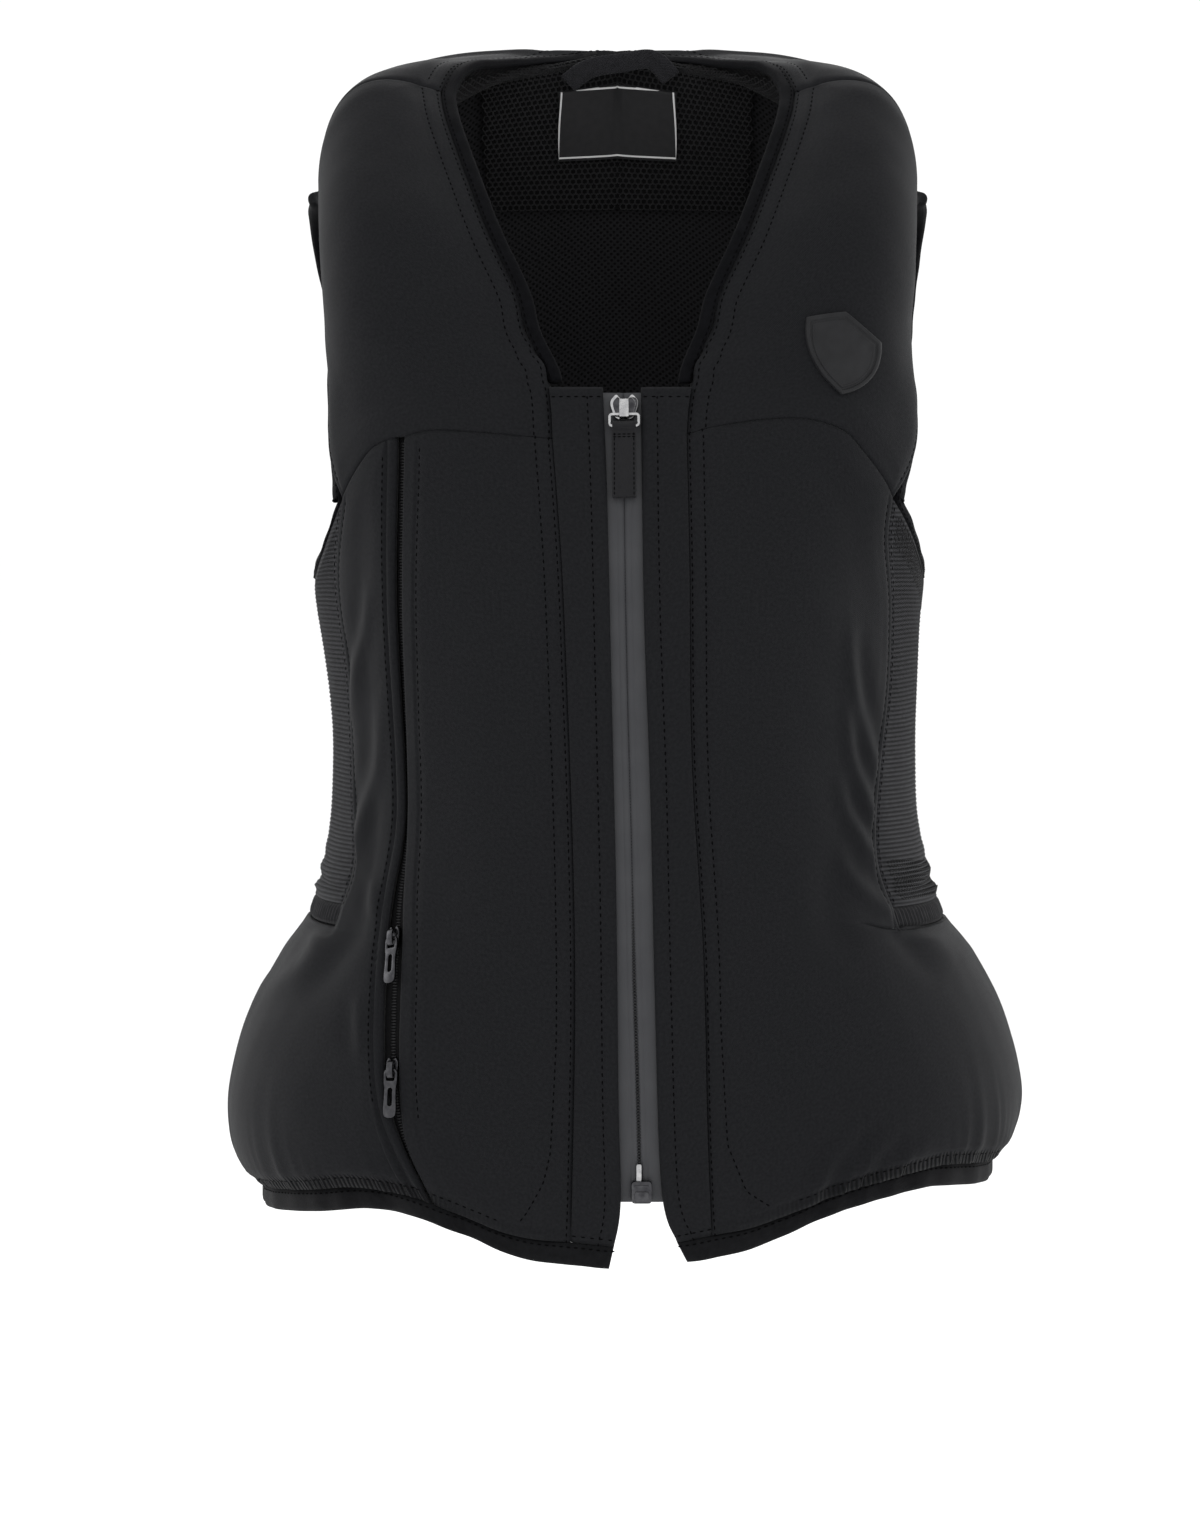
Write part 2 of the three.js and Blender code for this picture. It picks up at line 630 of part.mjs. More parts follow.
// Seam runs shared by neighbouring panels
function pocketLip(direction) {
  return POCKET.map((row) => [row.x + direction * row.half, row.z]);
}

function frontRuns(side) {
  const { seams } = side;
  const sideHemLevel = bisect((t) => shell(side.front, 1, t).z - seams.sideHem, 0, 4);
  const ribLow = seams.rib[seams.rib.length - 1];
  const ribFoot = [findFront(side, ...ribLow)[0] + 0.02, SIDE_BAND.high];
  const ribCorner = [ribFoot[0], SIDE_BAND.low];
  const ribUp = [ribFoot, ...seams.rib.slice().reverse().map(([x, z]) => findFront(side, x, z))];
  const rib = throughPlaces(ribUp, STEPS.rib);
  const sideSeam = straight([1, sideHemLevel], [1, SIDE_BAND.low], STEPS.side);
  const bandEdge = straight([1, SIDE_BAND.low], ribCorner, STEPS.band);
  return { sideSeam, rib, ribCorner, outer: chain(sideSeam, bandEdge, [ribCorner, ribFoot], rib) };
}

function hemRun(side, points, steps, from, to) {
  const places = points.map(([x, z]) => findFront(side, x, z));
  return throughPlaces([from, ...places, to], steps);
}

const PANELS = {};

function keep(name, grids, colour = COLOURS.shell, roughness = 0.85) {
  PANELS[name] = grids;
  addPiece(name, wallGeometry(grids), colour, roughness);
}

// Front of the vest on one side: placket, panels, yoke and stretch side panel
function buildFront(side) {
  const { seams, name } = side;
  const runs = frontRuns(side);
  const flipped = (points) => points.slice().reverse();
  const placketSeam = seam(side, flipped(seams.placket), bodyShares());
  const notch = seam(side, seams.notch, evenShares(STEPS.notch));
  const belowYoke = bodyShares().map((share) => share * NOTCH_SHARE);
  const zipShares = chain(belowYoke, evenShares(STEPS.notch, NOTCH_SHARE, 1));
  const zipEdge = seam(side, flipped(seams.zipEdge), zipShares);
  const placketSides = { inner: zipEdge, outer: chain(placketSeam, notch) };
  const lowest = [zipEdge[0], placketSeam[0]];
  const highest = [zipEdge[zipEdge.length - 1], notch[STEPS.notch]];
  const placketGrid = fillEdges({
    ...placketSides,
    bottom: straight(...lowest, STEPS.placket),
    top: straight(...highest, STEPS.placket),
  });
  keep(`placket_${name}`, thinPanel((s) => [side.front, s], placketGrid, 0, PLACKET_DEPTH));

  const yokeEnd = runs.outer[runs.outer.length - 1];
  const hemEnd = runs.sideSeam[0];
  let yokeSeam;
  if (name === "right") {
    const innerLip = seam(side, flipped(pocketLip(-1)), bodyShares());
    const outerLip = seam(side, flipped(pocketLip(1)), bodyShares());
    const [lipIn, lipOut] = [innerLip[STEPS.body], outerLip[STEPS.body]];
    const yokePlaces = seams.yoke.map(([x, z]) => findFront(side, x, z));
    const yokeNear = throughPlaces(
      [placketSeam[STEPS.body], ...yokePlaces.slice(1, 3), lipIn], STEPS.frontRight);
    const yokeFar = throughPlaces([lipOut, ...yokePlaces.slice(4, -1), yokeEnd], STEPS.sideFront);
    yokeSeam = chain(yokeNear, [lipIn, lipOut], yokeFar);
    keep("front_right", padPanel(side.front, fillEdges({
      inner: placketSeam,
      outer: innerLip,
      bottom: hemRun(side, seams.hem.slice(1, 4), STEPS.frontRight, placketSeam[0], innerLip[0]),
      top: yokeNear,
    }), { flat: ["inner", "outer", "top"], gather: true }));
    keep("side_front_right", padPanel(side.front, fillEdges({
      inner: outerLip,
      outer: runs.outer,
      bottom: hemRun(side, seams.hem.slice(5), STEPS.sideFront, outerLip[0], hemEnd),
      top: yokeFar,
    }), { flat: ["inner", "outer", "top"], gather: true }));
  } else {
    yokeSeam = throughPlaces([placketSeam[STEPS.body],
      ...seams.yoke.slice(1, -1).map(([x, z]) => findFront(side, x, z)), yokeEnd], STEPS.frontLeft);
    keep("front_left", padPanel(side.front, fillEdges({
      inner: placketSeam,
      outer: runs.outer,
      bottom: hemRun(side, seams.hem.slice(1), STEPS.frontLeft, placketSeam[0], hemEnd),
      top: yokeSeam,
    }), { flat: ["inner", "outer", "top"], gather: true }));
  }

  const neckLow = seams.neck.map(([x, z]) => findFront(side, x, z));
  const neckHigh = [12, 13, 14, 15, FRONT_TOP].map((t) => [0, t]);
  const neckPlaces = [notch[STEPS.notch], ...neckLow, ...neckHigh];
  const armPlaces = [yokeEnd, ARMHOLE_TURN, [1, 11.2], [1, 12.5], [1, 14], [1, FRONT_TOP]];
  keep(`yoke_${name}`, padPanel(side.front, fillEdges({
    inner: chain(notch, throughPlaces(neckPlaces, STEPS.neck)),
    outer: throughPlaces(armPlaces, STEPS.notch + STEPS.neck),
    bottom: yokeSeam,
    top: straight([0, FRONT_TOP], [1, FRONT_TOP], yokeSeam.length - 1),
  }), { flat: ["bottom"], folds: false }));
  return runs;
}

// Stretch panel under the arm: s runs on past 1 round to the back.
function wrapRows(side) {
  return (s) => (s <= 1 ? [side.front, s] : [side.back, 2 - s]);
}

function buildSide(side, runs) {
  const backRib = 2 - BACK_RIB_EDGE;
  const top = runs.rib[STEPS.rib];
  const underArm = throughPlaces([top, ...ARMPIT, [2 - ARMPIT[0][0], ARMPIT[0][1]], [backRib, top[1]]],
    2 * STEPS.band);
  const frontRib = runs.rib[0][0];
  const level = (t) => chain(
    straight([frontRib, t], [1, t], STEPS.band),
    straight([1, t], [backRib, t], STEPS.band));
  const ribGrid = fillEdges({
    inner: runs.rib,
    outer: straight([backRib, SIDE_BAND.high], [backRib, top[1]], STEPS.rib),
    bottom: level(SIDE_BAND.high),
    top: underArm,
  });
  const ribPanel = thinPanel(wrapRows(side), ribGrid, SELVAGE.dip, RIB_THICKNESS);
  keep(`side_panel_${side.name}`, ribPanel, COLOURS.rib, 0.95);
  const [low, high] = [SIDE_BAND.low + SIDE_BAND.clear, SIDE_BAND.high];
  const bandGrid = fillEdges({
    inner: straight([frontRib, low], [frontRib, high], 1),
    outer: straight([backRib, low], [backRib, high], 1),
    bottom: level(low),
    top: level(high),
  });
  const band = thinPanel(wrapRows(side), bandGrid, SIDE_BAND.depth, SIDE_BAND.thickness);
  keep(`side_band_${side.name}`, band, COLOURS.binding, 0.9);
}

function backHalf(side, runs) {
  const hemLevel = runs.sideSeam[0][1];
  const top = runs.rib[STEPS.rib][1];
  const ribCorner = [BACK_RIB_EDGE, SIDE_BAND.low];
  const ribFoot = [BACK_RIB_EDGE, SIDE_BAND.high];
  const outer = chain(
    runs.sideSeam,
    straight([1, SIDE_BAND.low], ribCorner, STEPS.band),
    [ribCorner, ribFoot],
    straight(ribFoot, [BACK_RIB_EDGE, top], STEPS.rib),
    throughPlaces([[BACK_RIB_EDGE, top], ARMHOLE_TURN, [1, 11.2], [1, 13], [1, 15], [1, BACK_TOP]],
      2 * STEPS.shoulder));
  const { below, corner } = BACK_BESIDE_BAND;
  const middle = chain(
    evenShares(STEPS.side, BACK_HEM, below),
    evenShares(STEPS.band, below, corner),
    [corner, SIDE_BAND.high],
    evenShares(STEPS.rib, SIDE_BAND.high, top),
    evenShares(STEPS.shoulder, top, BACK_NECK));
  const inner = chain(middle, evenShares(STEPS.shoulder, BACK_NECK, BACK_TOP)).map((t) => [0, t]);
  const places = fillEdges({
    inner,
    outer,
    bottom: throughPlaces([[0, BACK_HEM], [0.5, (BACK_HEM + hemLevel) / 2], [1, hemLevel]], STEPS.back),
    top: straight([0, BACK_TOP], [1, BACK_TOP], STEPS.back),
  });
  const grids = padPanel(side.back, places, { gather: true, folds: false });
  return { grids, joined: middle.length - 1 };
}

// Brings the two halves' middle points to the median plane so that they weld.
function meetInMiddle(half, other, joined) {
  for (const face of ["outer", "inner"]) {
    for (let j = 0; j <= joined; j++) {
      const middle = half[face][j][0].clone().lerp(other[face][j][0], 0.5);
      half[face][j][0].copy(middle);
      other[face][j][0].copy(middle);
    }
  }
}

const rightRuns = buildFront(RIGHT);
const leftRuns = buildFront(LEFT);
buildSide(RIGHT, rightRuns);
buildSide(LEFT, leftRuns);

const backRight = backHalf(RIGHT, rightRuns);
const backLeft = backHalf(LEFT, leftRuns);
meetInMiddle(backRight.grids, backLeft.grids, backRight.joined);
addPiece("back_panel", weldedGeometry([backRight.grids, backLeft.grids], backRight.joined), COLOURS.shell);

// Mesh lining that shows inside the back of the neck
function innerHalf(side, places, lift, thickness) {
  const lay = (sink) => places.map((row) => row.map(([s, t]) => {
    const p = shell(side.back, s, t);
    return p.addScaledVector(inward(p), padding(side.back, s, t) + sink);
  }));
  return { outer: lay(lift), inner: lay(lift + thickness) };
}

const liningJoined = LINING.levels.indexOf(BACK_NECK);
const liningPlaces = LINING.levels.map((t) => {
  const inset = t > BACK_NECK ? LINING.inset : 0;
  return LINING.shares.map((s) => [s + inset, t]);
});
const liningHalf = (side) => innerHalf(side, liningPlaces, LINING.lift, LINING.thickness);
const liningHalves = [RIGHT, LEFT].map(liningHalf);
meetInMiddle(liningHalves[0], liningHalves[1], liningJoined);
addPiece("neck_lining", weldedGeometry(liningHalves, liningJoined), COLOURS.mesh, 0.95);

// Plain label on the lining, under the hanger loop
const labelLevels = evenShares(LABEL.steps, LABEL.low, LABEL.high);
const labelPlaces = labelLevels.map((t) => straight([0, t], [LABEL.reach, t], LABEL.steps));
const labelHalves = [RIGHT, LEFT].map((side) => innerHalf(side, labelPlaces, LABEL.lift, LABEL.thickness));
const labelRows = labelPlaces.length - 1;
meetInMiddle(labelHalves[0], labelHalves[1], labelRows);
addPiece("neck_label", weldedGeometry(labelHalves, labelRows), COLOURS.label, 0.7);

// Bindings round the neck, the armholes and the hem
const backwards = (line) => line.slice().reverse();
function neckLine(side, half, joined) {
  const front = edgeLine(PANELS[`yoke_${side.name}`], "inner").slice(STEPS.notch);
  front[0].middle.lerp(front[1].middle, NECK_BINDING.start);
  const back = backwards(edgeLine(half, "inner").slice(joined));
  return [front, back];
}
const [neckFrontRight, neckBackRight] = neckLine(RIGHT, backRight.grids, backRight.joined);
const [neckFrontLeft, neckBackLeft] = neckLine(LEFT, backLeft.grids, backLeft.joined);
const neckPath = joinLines(
  [neckFrontRight, neckBackRight, backwards(neckBackLeft), backwards(neckFrontLeft)], false);
addPiece("neck_binding", bindingGeometry(neckPath, NECK_BINDING, false), COLOURS.binding, 0.9);

function armholeBinding(side, half) {
  const path = joinLines([
    edgeLine(PANELS[`yoke_${side.name}`], "outer"),
    backwards(edgeLine(half, "outer").slice(STEPS.body)),
    backwards(edgeLine(PANELS[`side_panel_${side.name}`], "top")),
  ], true);
  const geometry = bindingGeometry(path, ARMHOLE_BINDING, true);
  addPiece(`armhole_binding_${side.name}`, geometry, COLOURS.binding, 0.9);
}
armholeBinding(RIGHT, backRight.grids);
armholeBinding(LEFT, backLeft.grids);

const hemPath = joinLines([
  edgeLine(PANELS.placket_right, "bottom"),
  edgeLine(PANELS.front_right, "bottom"),
  edgeLine(PANELS.side_front_right, "bottom"),
  backwards(edgeLine(backRight.grids, "bottom")),
  edgeLine(backLeft.grids, "bottom"),
  backwards(edgeLine(PANELS.front_left, "bottom")),
  backwards(edgeLine(PANELS.placket_left, "bottom")),
], false);
addPiece("hem_binding", bindingGeometry(hemPath, HEM_BINDING, false), COLOURS.binding, 0.9);

// Front zip: two tapes tucked under the plackets
function zipMiddle(z) {
  const xAt = (side) => shell(side.front, 0, bisect((t) => shell(side.front, 0, t).z - z, 0, FRONT_TOP)).x;
  return (xAt(RIGHT) + xAt(LEFT)) / 2;
}

function zipTape(side) {
  const edge = new THREE.SplineCurve(side.seams.zipEdge.map(([x, z]) => new THREE.Vector2(x, z)));
  const edgeAt = (z) => edge.getPoint(bisect((f) => z - edge.getPoint(f).y, 0, 1)).x;
  const places = evenShares(ZIP.steps, ZIP.bottom, ZIP.top).map((z) => [
    findFront(side, side.sign * zipMiddle(z), z),
    findFront(side, edgeAt(z) + TAPE.tuck, z),
  ]);
  const grids = thinPanel((s) => [side.front, s], places, TAPE.depth, TAPE.thickness);
  keep(`zip_tape_${side.name}`, grids, COLOURS.tape, 0.7);
}
zipTape(RIGHT);
zipTape(LEFT);

// Slider, bridge and swinging pull of a zip, made upright in the slider's own frame
function sliderGeometry({ width, height, body, bridgeWidth, hole, roof, ears }) {
  const [w, h] = [width / 2, height / 2];
  const shape = outline([[-w * 0.62, -h], [w * 0.62, -h], [w, h * 0.2], [w, h * 0.7], [w * 0.55, h + ears],
    [w * 0.3, h * 0.75], [-w * 0.3, h * 0.75], [-w * 0.55, h + ears], [-w, h * 0.7], [-w, h * 0.2]]);
  const foot = body - 0.3;
  const ceiling = body + hole;
  const arch = outline([[-h, foot], [-h * 0.84, foot], [-h * 0.8, ceiling], [h * 0.42, ceiling],
    [h * 0.46, foot], [h * 0.84, foot], [h * 0.62, ceiling + roof], [-h * 0.84, ceiling + roof]]);
  return toGeometry(toSolid(plate(shape, 0, body)).add(toSolid(acrossZip(arch, bridgeWidth))));
}

// Hinge point of a pull inside its bridge, in the slider's frame
function hingeGroup(parent, sizes, lean) {
  const group = new THREE.Group();
  group.position.set(0, sizes.hingeY, sizes.body + sizes.hole / 2);
  group.rotation.x = lean;
  parent.add(group);
  return group;
}

const mainSlider = stand(LEFT, MAIN_SLIDER.x, MAIN_SLIDER.z, TAPE.depth - MAIN_SLIDER.seat);
addPiece("zip_slider", sliderGeometry(MAIN_SLIDER), COLOURS.metal, 0.35, 1, mainSlider);
const mainPull = hingeGroup(mainSlider, MAIN_SLIDER, MAIN_LEAN);
const ringHeight = RING.reach + RING.wire;
const ringShape = roundedRectangle(RING.width, ringHeight, 1, 0, -RING.reach / 2);
const ringInside = [RING.width - 2 * RING.wire, RING.reach - RING.wire];
ringShape.holes.push(roundedRectangle(...ringInside, 0.4, 0, -RING.reach / 2));
const ringHalf = RING.thickness / 2;
addPiece("zip_pull_ring", plate(ringShape, -ringHalf, ringHalf), COLOURS.metal, 0.4, 1, mainPull);

const eyeOuter = TAB.eye + TAB.wall;
const tabHalf = TAB.thickness / 2;
const neckAngle = Math.asin(tabHalf / eyeOuter);
const tabShape = new THREE.Shape();
tabShape.absarc(-RING.reach, 0, eyeOuter, Math.PI + neckAngle, Math.PI - neckAngle + 2 * Math.PI, false);
tabShape.lineTo(-RING.reach - TAB.length, tabHalf);
tabShape.lineTo(-RING.reach - TAB.length, -tabHalf);
tabShape.closePath();
const eyeHole = new THREE.Path();
eyeHole.absarc(-RING.reach, 0, TAB.eye, 0, 2 * Math.PI, true);
tabShape.holes.push(eyeHole);
addPiece("zip_pull_tab", acrossZip(tabShape, TAB.width), COLOURS.webbing, 0.85, 0, mainPull);

// Retainer box at the foot of the zip
const zipFoot = stand(LEFT, zipMiddle(BOX.z) + BOX.offset, BOX.z, TAPE.depth - BOX.seat);
const boxBody = toSolid(plate(roundedRectangle(BOX.width, BOX.height, BOX.corner), 0, BOX.thickness));
const pinShape = roundedRectangle(BOX_PIN.width, BOX_PIN.height, BOX_PIN.corner, BOX_PIN.x, BOX_PIN.y);
const boxPin = toSolid(plate(pinShape, 0, BOX_PIN.thickness));
addPiece("zip_box", toGeometry(boxBody.add(boxPin)), COLOURS.gunmetal, 0.4, 0.6, zipFoot);

// Pocket zip: one tape behind the lips, two sliders with swinging pulls
function pocketTape() {
  const rows = POCKET.slice(0, -1).map((row) => ({ ...row }));
  rows[0].z -= POCKET_TAPE.topDrop;
  const edge = (direction) => {
    const points = rows.map(({ x, z, half }) => [x + direction * (half + POCKET_TAPE.tuck), z]);
    return seam(RIGHT, points, evenShares(STEPS.pocket));
  };
  const [inner, outer] = [edge(-1), edge(1)];
  const grid = inner.map((place, k) => [place, outer[k]]).reverse();
  const { depth, thickness } = POCKET_TAPE;
  keep("pocket_zip_tape", thinPanel((s) => [RIGHT.front, s], grid, depth, thickness), COLOURS.coil, 0.7);
}
pocketTape();

function pullShape() {
  const { width, length, bar, rail, window, waist, waistDrop, foot, footRise, slot } = PULL;
  const w = width / 2;
  const half = [
    [w, bar / 2],
    [w, -window],
    [w * waist, -window - waistDrop],
    [w, -length + footRise],
    [w * foot, -length],
  ];
  const mirrored = half.map(([x, y]) => [-x, y]).reverse();
  const shape = outline([...half, ...mirrored].reverse());
  shape.holes.push(roundedRectangle(width - 2 * rail, window - bar, 0.5, 0, -window / 2));
  const slotY = -window - slot.drop - slot.height / 2;
  shape.holes.push(roundedRectangle(slot.width, slot.height, 0.6, 0, slotY));
  return shape;
}

for (const { name, x, z } of POCKET_SLIDERS) {
  const slider = stand(RIGHT, x, z, POCKET_TAPE.depth - POCKET_SLIDER.seat);
  addPiece(`pocket_slider_${name}`, sliderGeometry(POCKET_SLIDER), COLOURS.gunmetal, 0.4, 0.9, slider);
  const swing = hingeGroup(slider, POCKET_SLIDER, PULL_LEAN);
  const half = PULL.thickness / 2;
  addPiece(`pocket_pull_${name}`, plate(pullShape(), -half, half), COLOURS.gunmetal, 0.4, 0.9, swing);
}

// Blank rubber badge, a shield with a raised rim, laid on the wearer's left yoke
function shieldOutline() {
  const shape = new THREE.Shape();
  shape.moveTo(-0.5, 0.28);
  shape.quadraticCurveTo(-0.22, 0.42, 0, 0.5);
  shape.quadraticCurveTo(0.22, 0.42, 0.5, 0.28);
  shape.quadraticCurveTo(0.56, -0.22, 0, -0.5);
  shape.quadraticCurveTo(-0.56, -0.22, -0.5, 0.28);
  return shape.getPoints(5).slice(0, -1);
}

function badgeGeometry() {
  const rim = shieldOutline();
  const place = (q, share, height) => {
    const [dx, dz] = [0, 1].map((k) => share * (q.x * BADGE.across[k] + q.y * BADGE.up[k]));
    const [s, t] = findFront(LEFT, BADGE.x + dx, BADGE.z + dz);
    const p = shell(LEFT.front, s, t);
    return p.addScaledVector(inward(p), -BADGE.lift - height);
  };
  const rings = BADGE_RINGS.map(({ share, height }) => rim.map((q) => place(q, share, height)));
  const under = BADGE.underRings.map((share) => rim.map((q) => place(q, share, 0)));
  const levels = [...under, ...rings];
  const corners = [];
  for (let k = 0; k < levels.length - 1; k++) {
    for (let m = 0; m < rim.length; m++) {
      const n = (m + 1) % rim.length;
      const [a, b, c, d] = [levels[k][m], levels[k][n], levels[k + 1][n], levels[k + 1][m]];
      if (k > 0) corners.push(a, b, c);
      if (k < levels.length - 2) corners.push(a, c, d);
    }
  }
  return closedGeometry(faceOut(corners));
}
addPiece("chest_badge", badgeGeometry(), COLOURS.rubber, 0.6);

// Hanger loop of webbing inside the back of the neck
function loopGeometry() {
  const curve = new THREE.CatmullRomCurve3(LOOP_PATH.map((p) => new THREE.Vector3(...p)));
  const rings = curve.getSpacedPoints(LOOP.steps).map((p, k) => {
    const along = curve.getTangentAt(k / LOOP.steps);
    const wide = new THREE.Vector3(0, -Math.sin(LOOP.tip), Math.cos(LOOP.tip));
    wide.addScaledVector(along, -wide.dot(along)).normalize();
    const thick = along.clone().cross(wide);
    return [[-1, -1], [1, -1], [1, 1], [-1, 1]].map(([a, b]) => p.clone()
      .addScaledVector(wide, a * LOOP.width / 2)
      .addScaledVector(thick, b * LOOP.thickness / 2));
  });
  return sweptGeometry(rings, false);
}
addPiece("hanger_loop", loopGeometry(), COLOURS.webbing, 0.85);

export default vest;
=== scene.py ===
import math
import bmesh
import bpy
import numpy as np
from mathutils import Matrix, Vector
from mathutils.bvhtree import BVHTree
from mathutils.kdtree import KDTree


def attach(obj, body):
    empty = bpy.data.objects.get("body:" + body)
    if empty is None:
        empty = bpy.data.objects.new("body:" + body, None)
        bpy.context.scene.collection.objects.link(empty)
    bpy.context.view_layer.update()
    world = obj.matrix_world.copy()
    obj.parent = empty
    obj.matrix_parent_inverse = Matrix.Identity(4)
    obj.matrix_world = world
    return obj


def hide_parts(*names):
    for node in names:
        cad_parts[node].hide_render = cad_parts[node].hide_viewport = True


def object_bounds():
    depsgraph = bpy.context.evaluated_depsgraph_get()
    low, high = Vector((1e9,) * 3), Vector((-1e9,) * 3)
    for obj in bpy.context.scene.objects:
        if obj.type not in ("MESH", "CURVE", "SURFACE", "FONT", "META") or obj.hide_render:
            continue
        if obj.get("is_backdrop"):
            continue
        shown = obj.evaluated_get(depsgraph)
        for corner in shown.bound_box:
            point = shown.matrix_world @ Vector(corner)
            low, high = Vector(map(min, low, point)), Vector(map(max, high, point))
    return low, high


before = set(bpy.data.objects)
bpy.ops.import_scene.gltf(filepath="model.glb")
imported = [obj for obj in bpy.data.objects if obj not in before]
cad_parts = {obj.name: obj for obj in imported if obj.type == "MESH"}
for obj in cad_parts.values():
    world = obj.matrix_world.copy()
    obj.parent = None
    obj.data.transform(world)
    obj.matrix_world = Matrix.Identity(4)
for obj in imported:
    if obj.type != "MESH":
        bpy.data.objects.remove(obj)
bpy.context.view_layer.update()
scene = bpy.context.scene
mm = 0.001  # the tables below are in millimetres
print("frame loaded,", len(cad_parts), "solids")

# camera, floor and light
studio = {
    "eye": (-0.01012, -2.49657, -0.13504), "target": (-0.01012, 0, -0.26588), "lens": 129.058,
    "floorZ": -0.78, "floorSize": 80.0, "floorTone": 0.965, "world": 1.06,
}


def linked(name, data):
    obj = bpy.data.objects.new(name, data)
    scene.collection.objects.link(obj)
    return obj


def aimed(name, data, place, target):
    obj = linked(name, data)
    obj.location = place
    obj.rotation_euler = (Vector(target) - Vector(place)).to_track_quat("-Z", "Y").to_euler()
    return obj


cameraData = bpy.data.cameras.new("camera")
cameraData.lens = studio["lens"]
cameraData.sensor_width = 36
cameraData.clip_end = 100
scene.camera = aimed("camera", cameraData, studio["eye"], studio["target"])
scene.view_settings.view_transform = "Standard"

softboxes = {  # place, target, width, height, watts
    "sideRight": ((-1.9, 0.7, 0.1), (0, 0, -0.25), 1.4, 1.8, 12),
    "sideLeft": ((1.9, 0.7, 0.1), (0, 0, -0.25), 1.4, 1.8, 12),
    "behind": ((0, 2.2, 1.5), (0, 0, -0.05), 2.0, 1.2, 26),
}
for lightName, (place, target, width, height, watts) in softboxes.items():
    lamp = bpy.data.lights.new(lightName, "AREA")
    lamp.shape = "RECTANGLE"
    lamp.size = width
    lamp.size_y = height
    lamp.energy = watts
    aimed(lightName, lamp, place, target)
world = bpy.data.worlds.new("studio")
scene.world = world
world.use_nodes = True
world.node_tree.nodes["Background"].inputs["Color"].default_value = (1, 1, 1, 1)
world.node_tree.nodes["Background"].inputs["Strength"].default_value = studio["world"]


# materials
def addNode(tree, kind, inputs=None, **settings):
    node = tree.nodes.new(kind)
    for key, value in settings.items():
        setattr(node, key, value)
    for key, value in (inputs or {}).items():
        if isinstance(value, bpy.types.NodeSocket):
            tree.links.new(value, node.inputs[key])
        else:
            node.inputs[key].default_value = value
    return node


def calc(tree, operation, first, second=0.0):
    return addNode(tree, "ShaderNodeMath", {0: first, 1: second}, operation=operation).outputs[0]


def newMaterial(name, rough, specular, metal=0.0, sheen=0.0):
    mat = bpy.data.materials.new(name)
    mat.use_nodes = True
    shader = mat.node_tree.nodes["Principled BSDF"]
    given = {"Roughness": rough, "Specular IOR Level": specular, "Metallic": metal, "Sheen Weight": sheen,
             "Sheen Roughness": 0.45}
    for key, value in given.items():
        shader.inputs[key].default_value = value
    return mat, mat.node_tree, shader


def tinted(tree, shader, share, stops):
    ramp = addNode(tree, "ShaderNodeValToRGB", {"Fac": share})
    for element, (place, colour) in zip(ramp.color_ramp.elements, stops):
        element.position = place
        element.color = (*colour, 1)
    tree.links.new(ramp.outputs["Color"], shader.inputs["Base Color"])
    return ramp


def paint(tree, shader, where, dark, light, scale, detail=4.0):
    noise = addNode(tree, "ShaderNodeTexNoise", {"Vector": where, "Scale": scale, "Detail": detail})
    return tinted(tree, shader, noise.outputs["Fac"], ((0.32, dark), (0.7, light)))


def emboss(tree, shader, height, strength, distance):
    bump = addNode(tree, "ShaderNodeBump", {"Strength": strength, "Distance": distance, "Height": height})
    tree.links.new(bump.outputs["Normal"], shader.inputs["Normal"])
    return bump


def waveScale(pitch):  # scale of a wave texture for a pitch in metres
    return math.pi / 10 / pitch


def threads(tree, where, across, along, turn=0.0):
    turned = addNode(tree, "ShaderNodeMapping", {"Vector": where, "Rotation": (0, 0, turn)})
    waves = []
    for direction, pitch in (("X", across), ("Y", along)):
        wave = addNode(
            tree, "ShaderNodeTexWave",
            {"Vector": turned.outputs["Vector"], "Scale": waveScale(pitch), "Distortion": 0.4,
             "Detail": 1.0, "Detail Scale": 1.5},
            bands_direction=direction)
        waves.append(wave.outputs["Fac"])
    return calc(tree, "MULTIPLY", *waves)


def fabric(name, dark, light, rough, specular, sheen, pitch, strength, depth, turn, patch):
    mat, tree, shader = newMaterial(name, rough, specular, sheen=sheen)
    where = addNode(tree, "ShaderNodeUVMap").outputs["UV"]
    ramp = paint(tree, shader, where, dark, light, patch)
    bump = emboss(tree, shader, threads(tree, where, *pitch, turn), strength, depth)
    return mat, tree, shader, where, ramp, bump


def paintedShadeAndPrint(tree, shader, ramp, share, deep):  # turns the colour to deep where share is high: painted shade in the pleats and between the ribs, printed frame lines on the label
    mixed = addNode(tree, "ShaderNodeMix", {"Factor": share, "A": ramp.outputs["Color"], "B": (*deep, 1)},
                    data_type="RGBA")
    tree.links.new(mixed.outputs["Result"], shader.inputs["Base Color"])


def pleated(mat, tree, shader, where, ramp, bump):  # fine pleats where the cloth is drawn into its casing, with painted shade in the casing and between the pleats
    drawn = addNode(tree, "ShaderNodeAttribute", attribute_name="casing").outputs["Fac"]
    wave = addNode(
        tree, "ShaderNodeTexWave",
        {"Vector": where, "Scale": waveScale(pleatPitch), "Distortion": 1.6, "Detail": 1.0,
         "Detail Scale": 0.6}, bands_direction="X")
    height = calc(tree, "MULTIPLY", wave.outputs["Fac"], drawn)
    folds = addNode(tree, "ShaderNodeBump", {"Strength": 1.0, "Distance": 0.0009, "Height": height})
    tree.links.new(folds.outputs["Normal"], bump.inputs["Normal"])
    # painted shade: the colour darkens in the drawn-in casing, most of all between the pleats
    groove = calc(tree, "MULTIPLY", calc(tree, "SUBTRACT", drawn, height), 0.75)
    paintedShadeAndPrint(tree, shader, ramp, groove, (0.0016, 0.0016, 0.0018))
    return mat


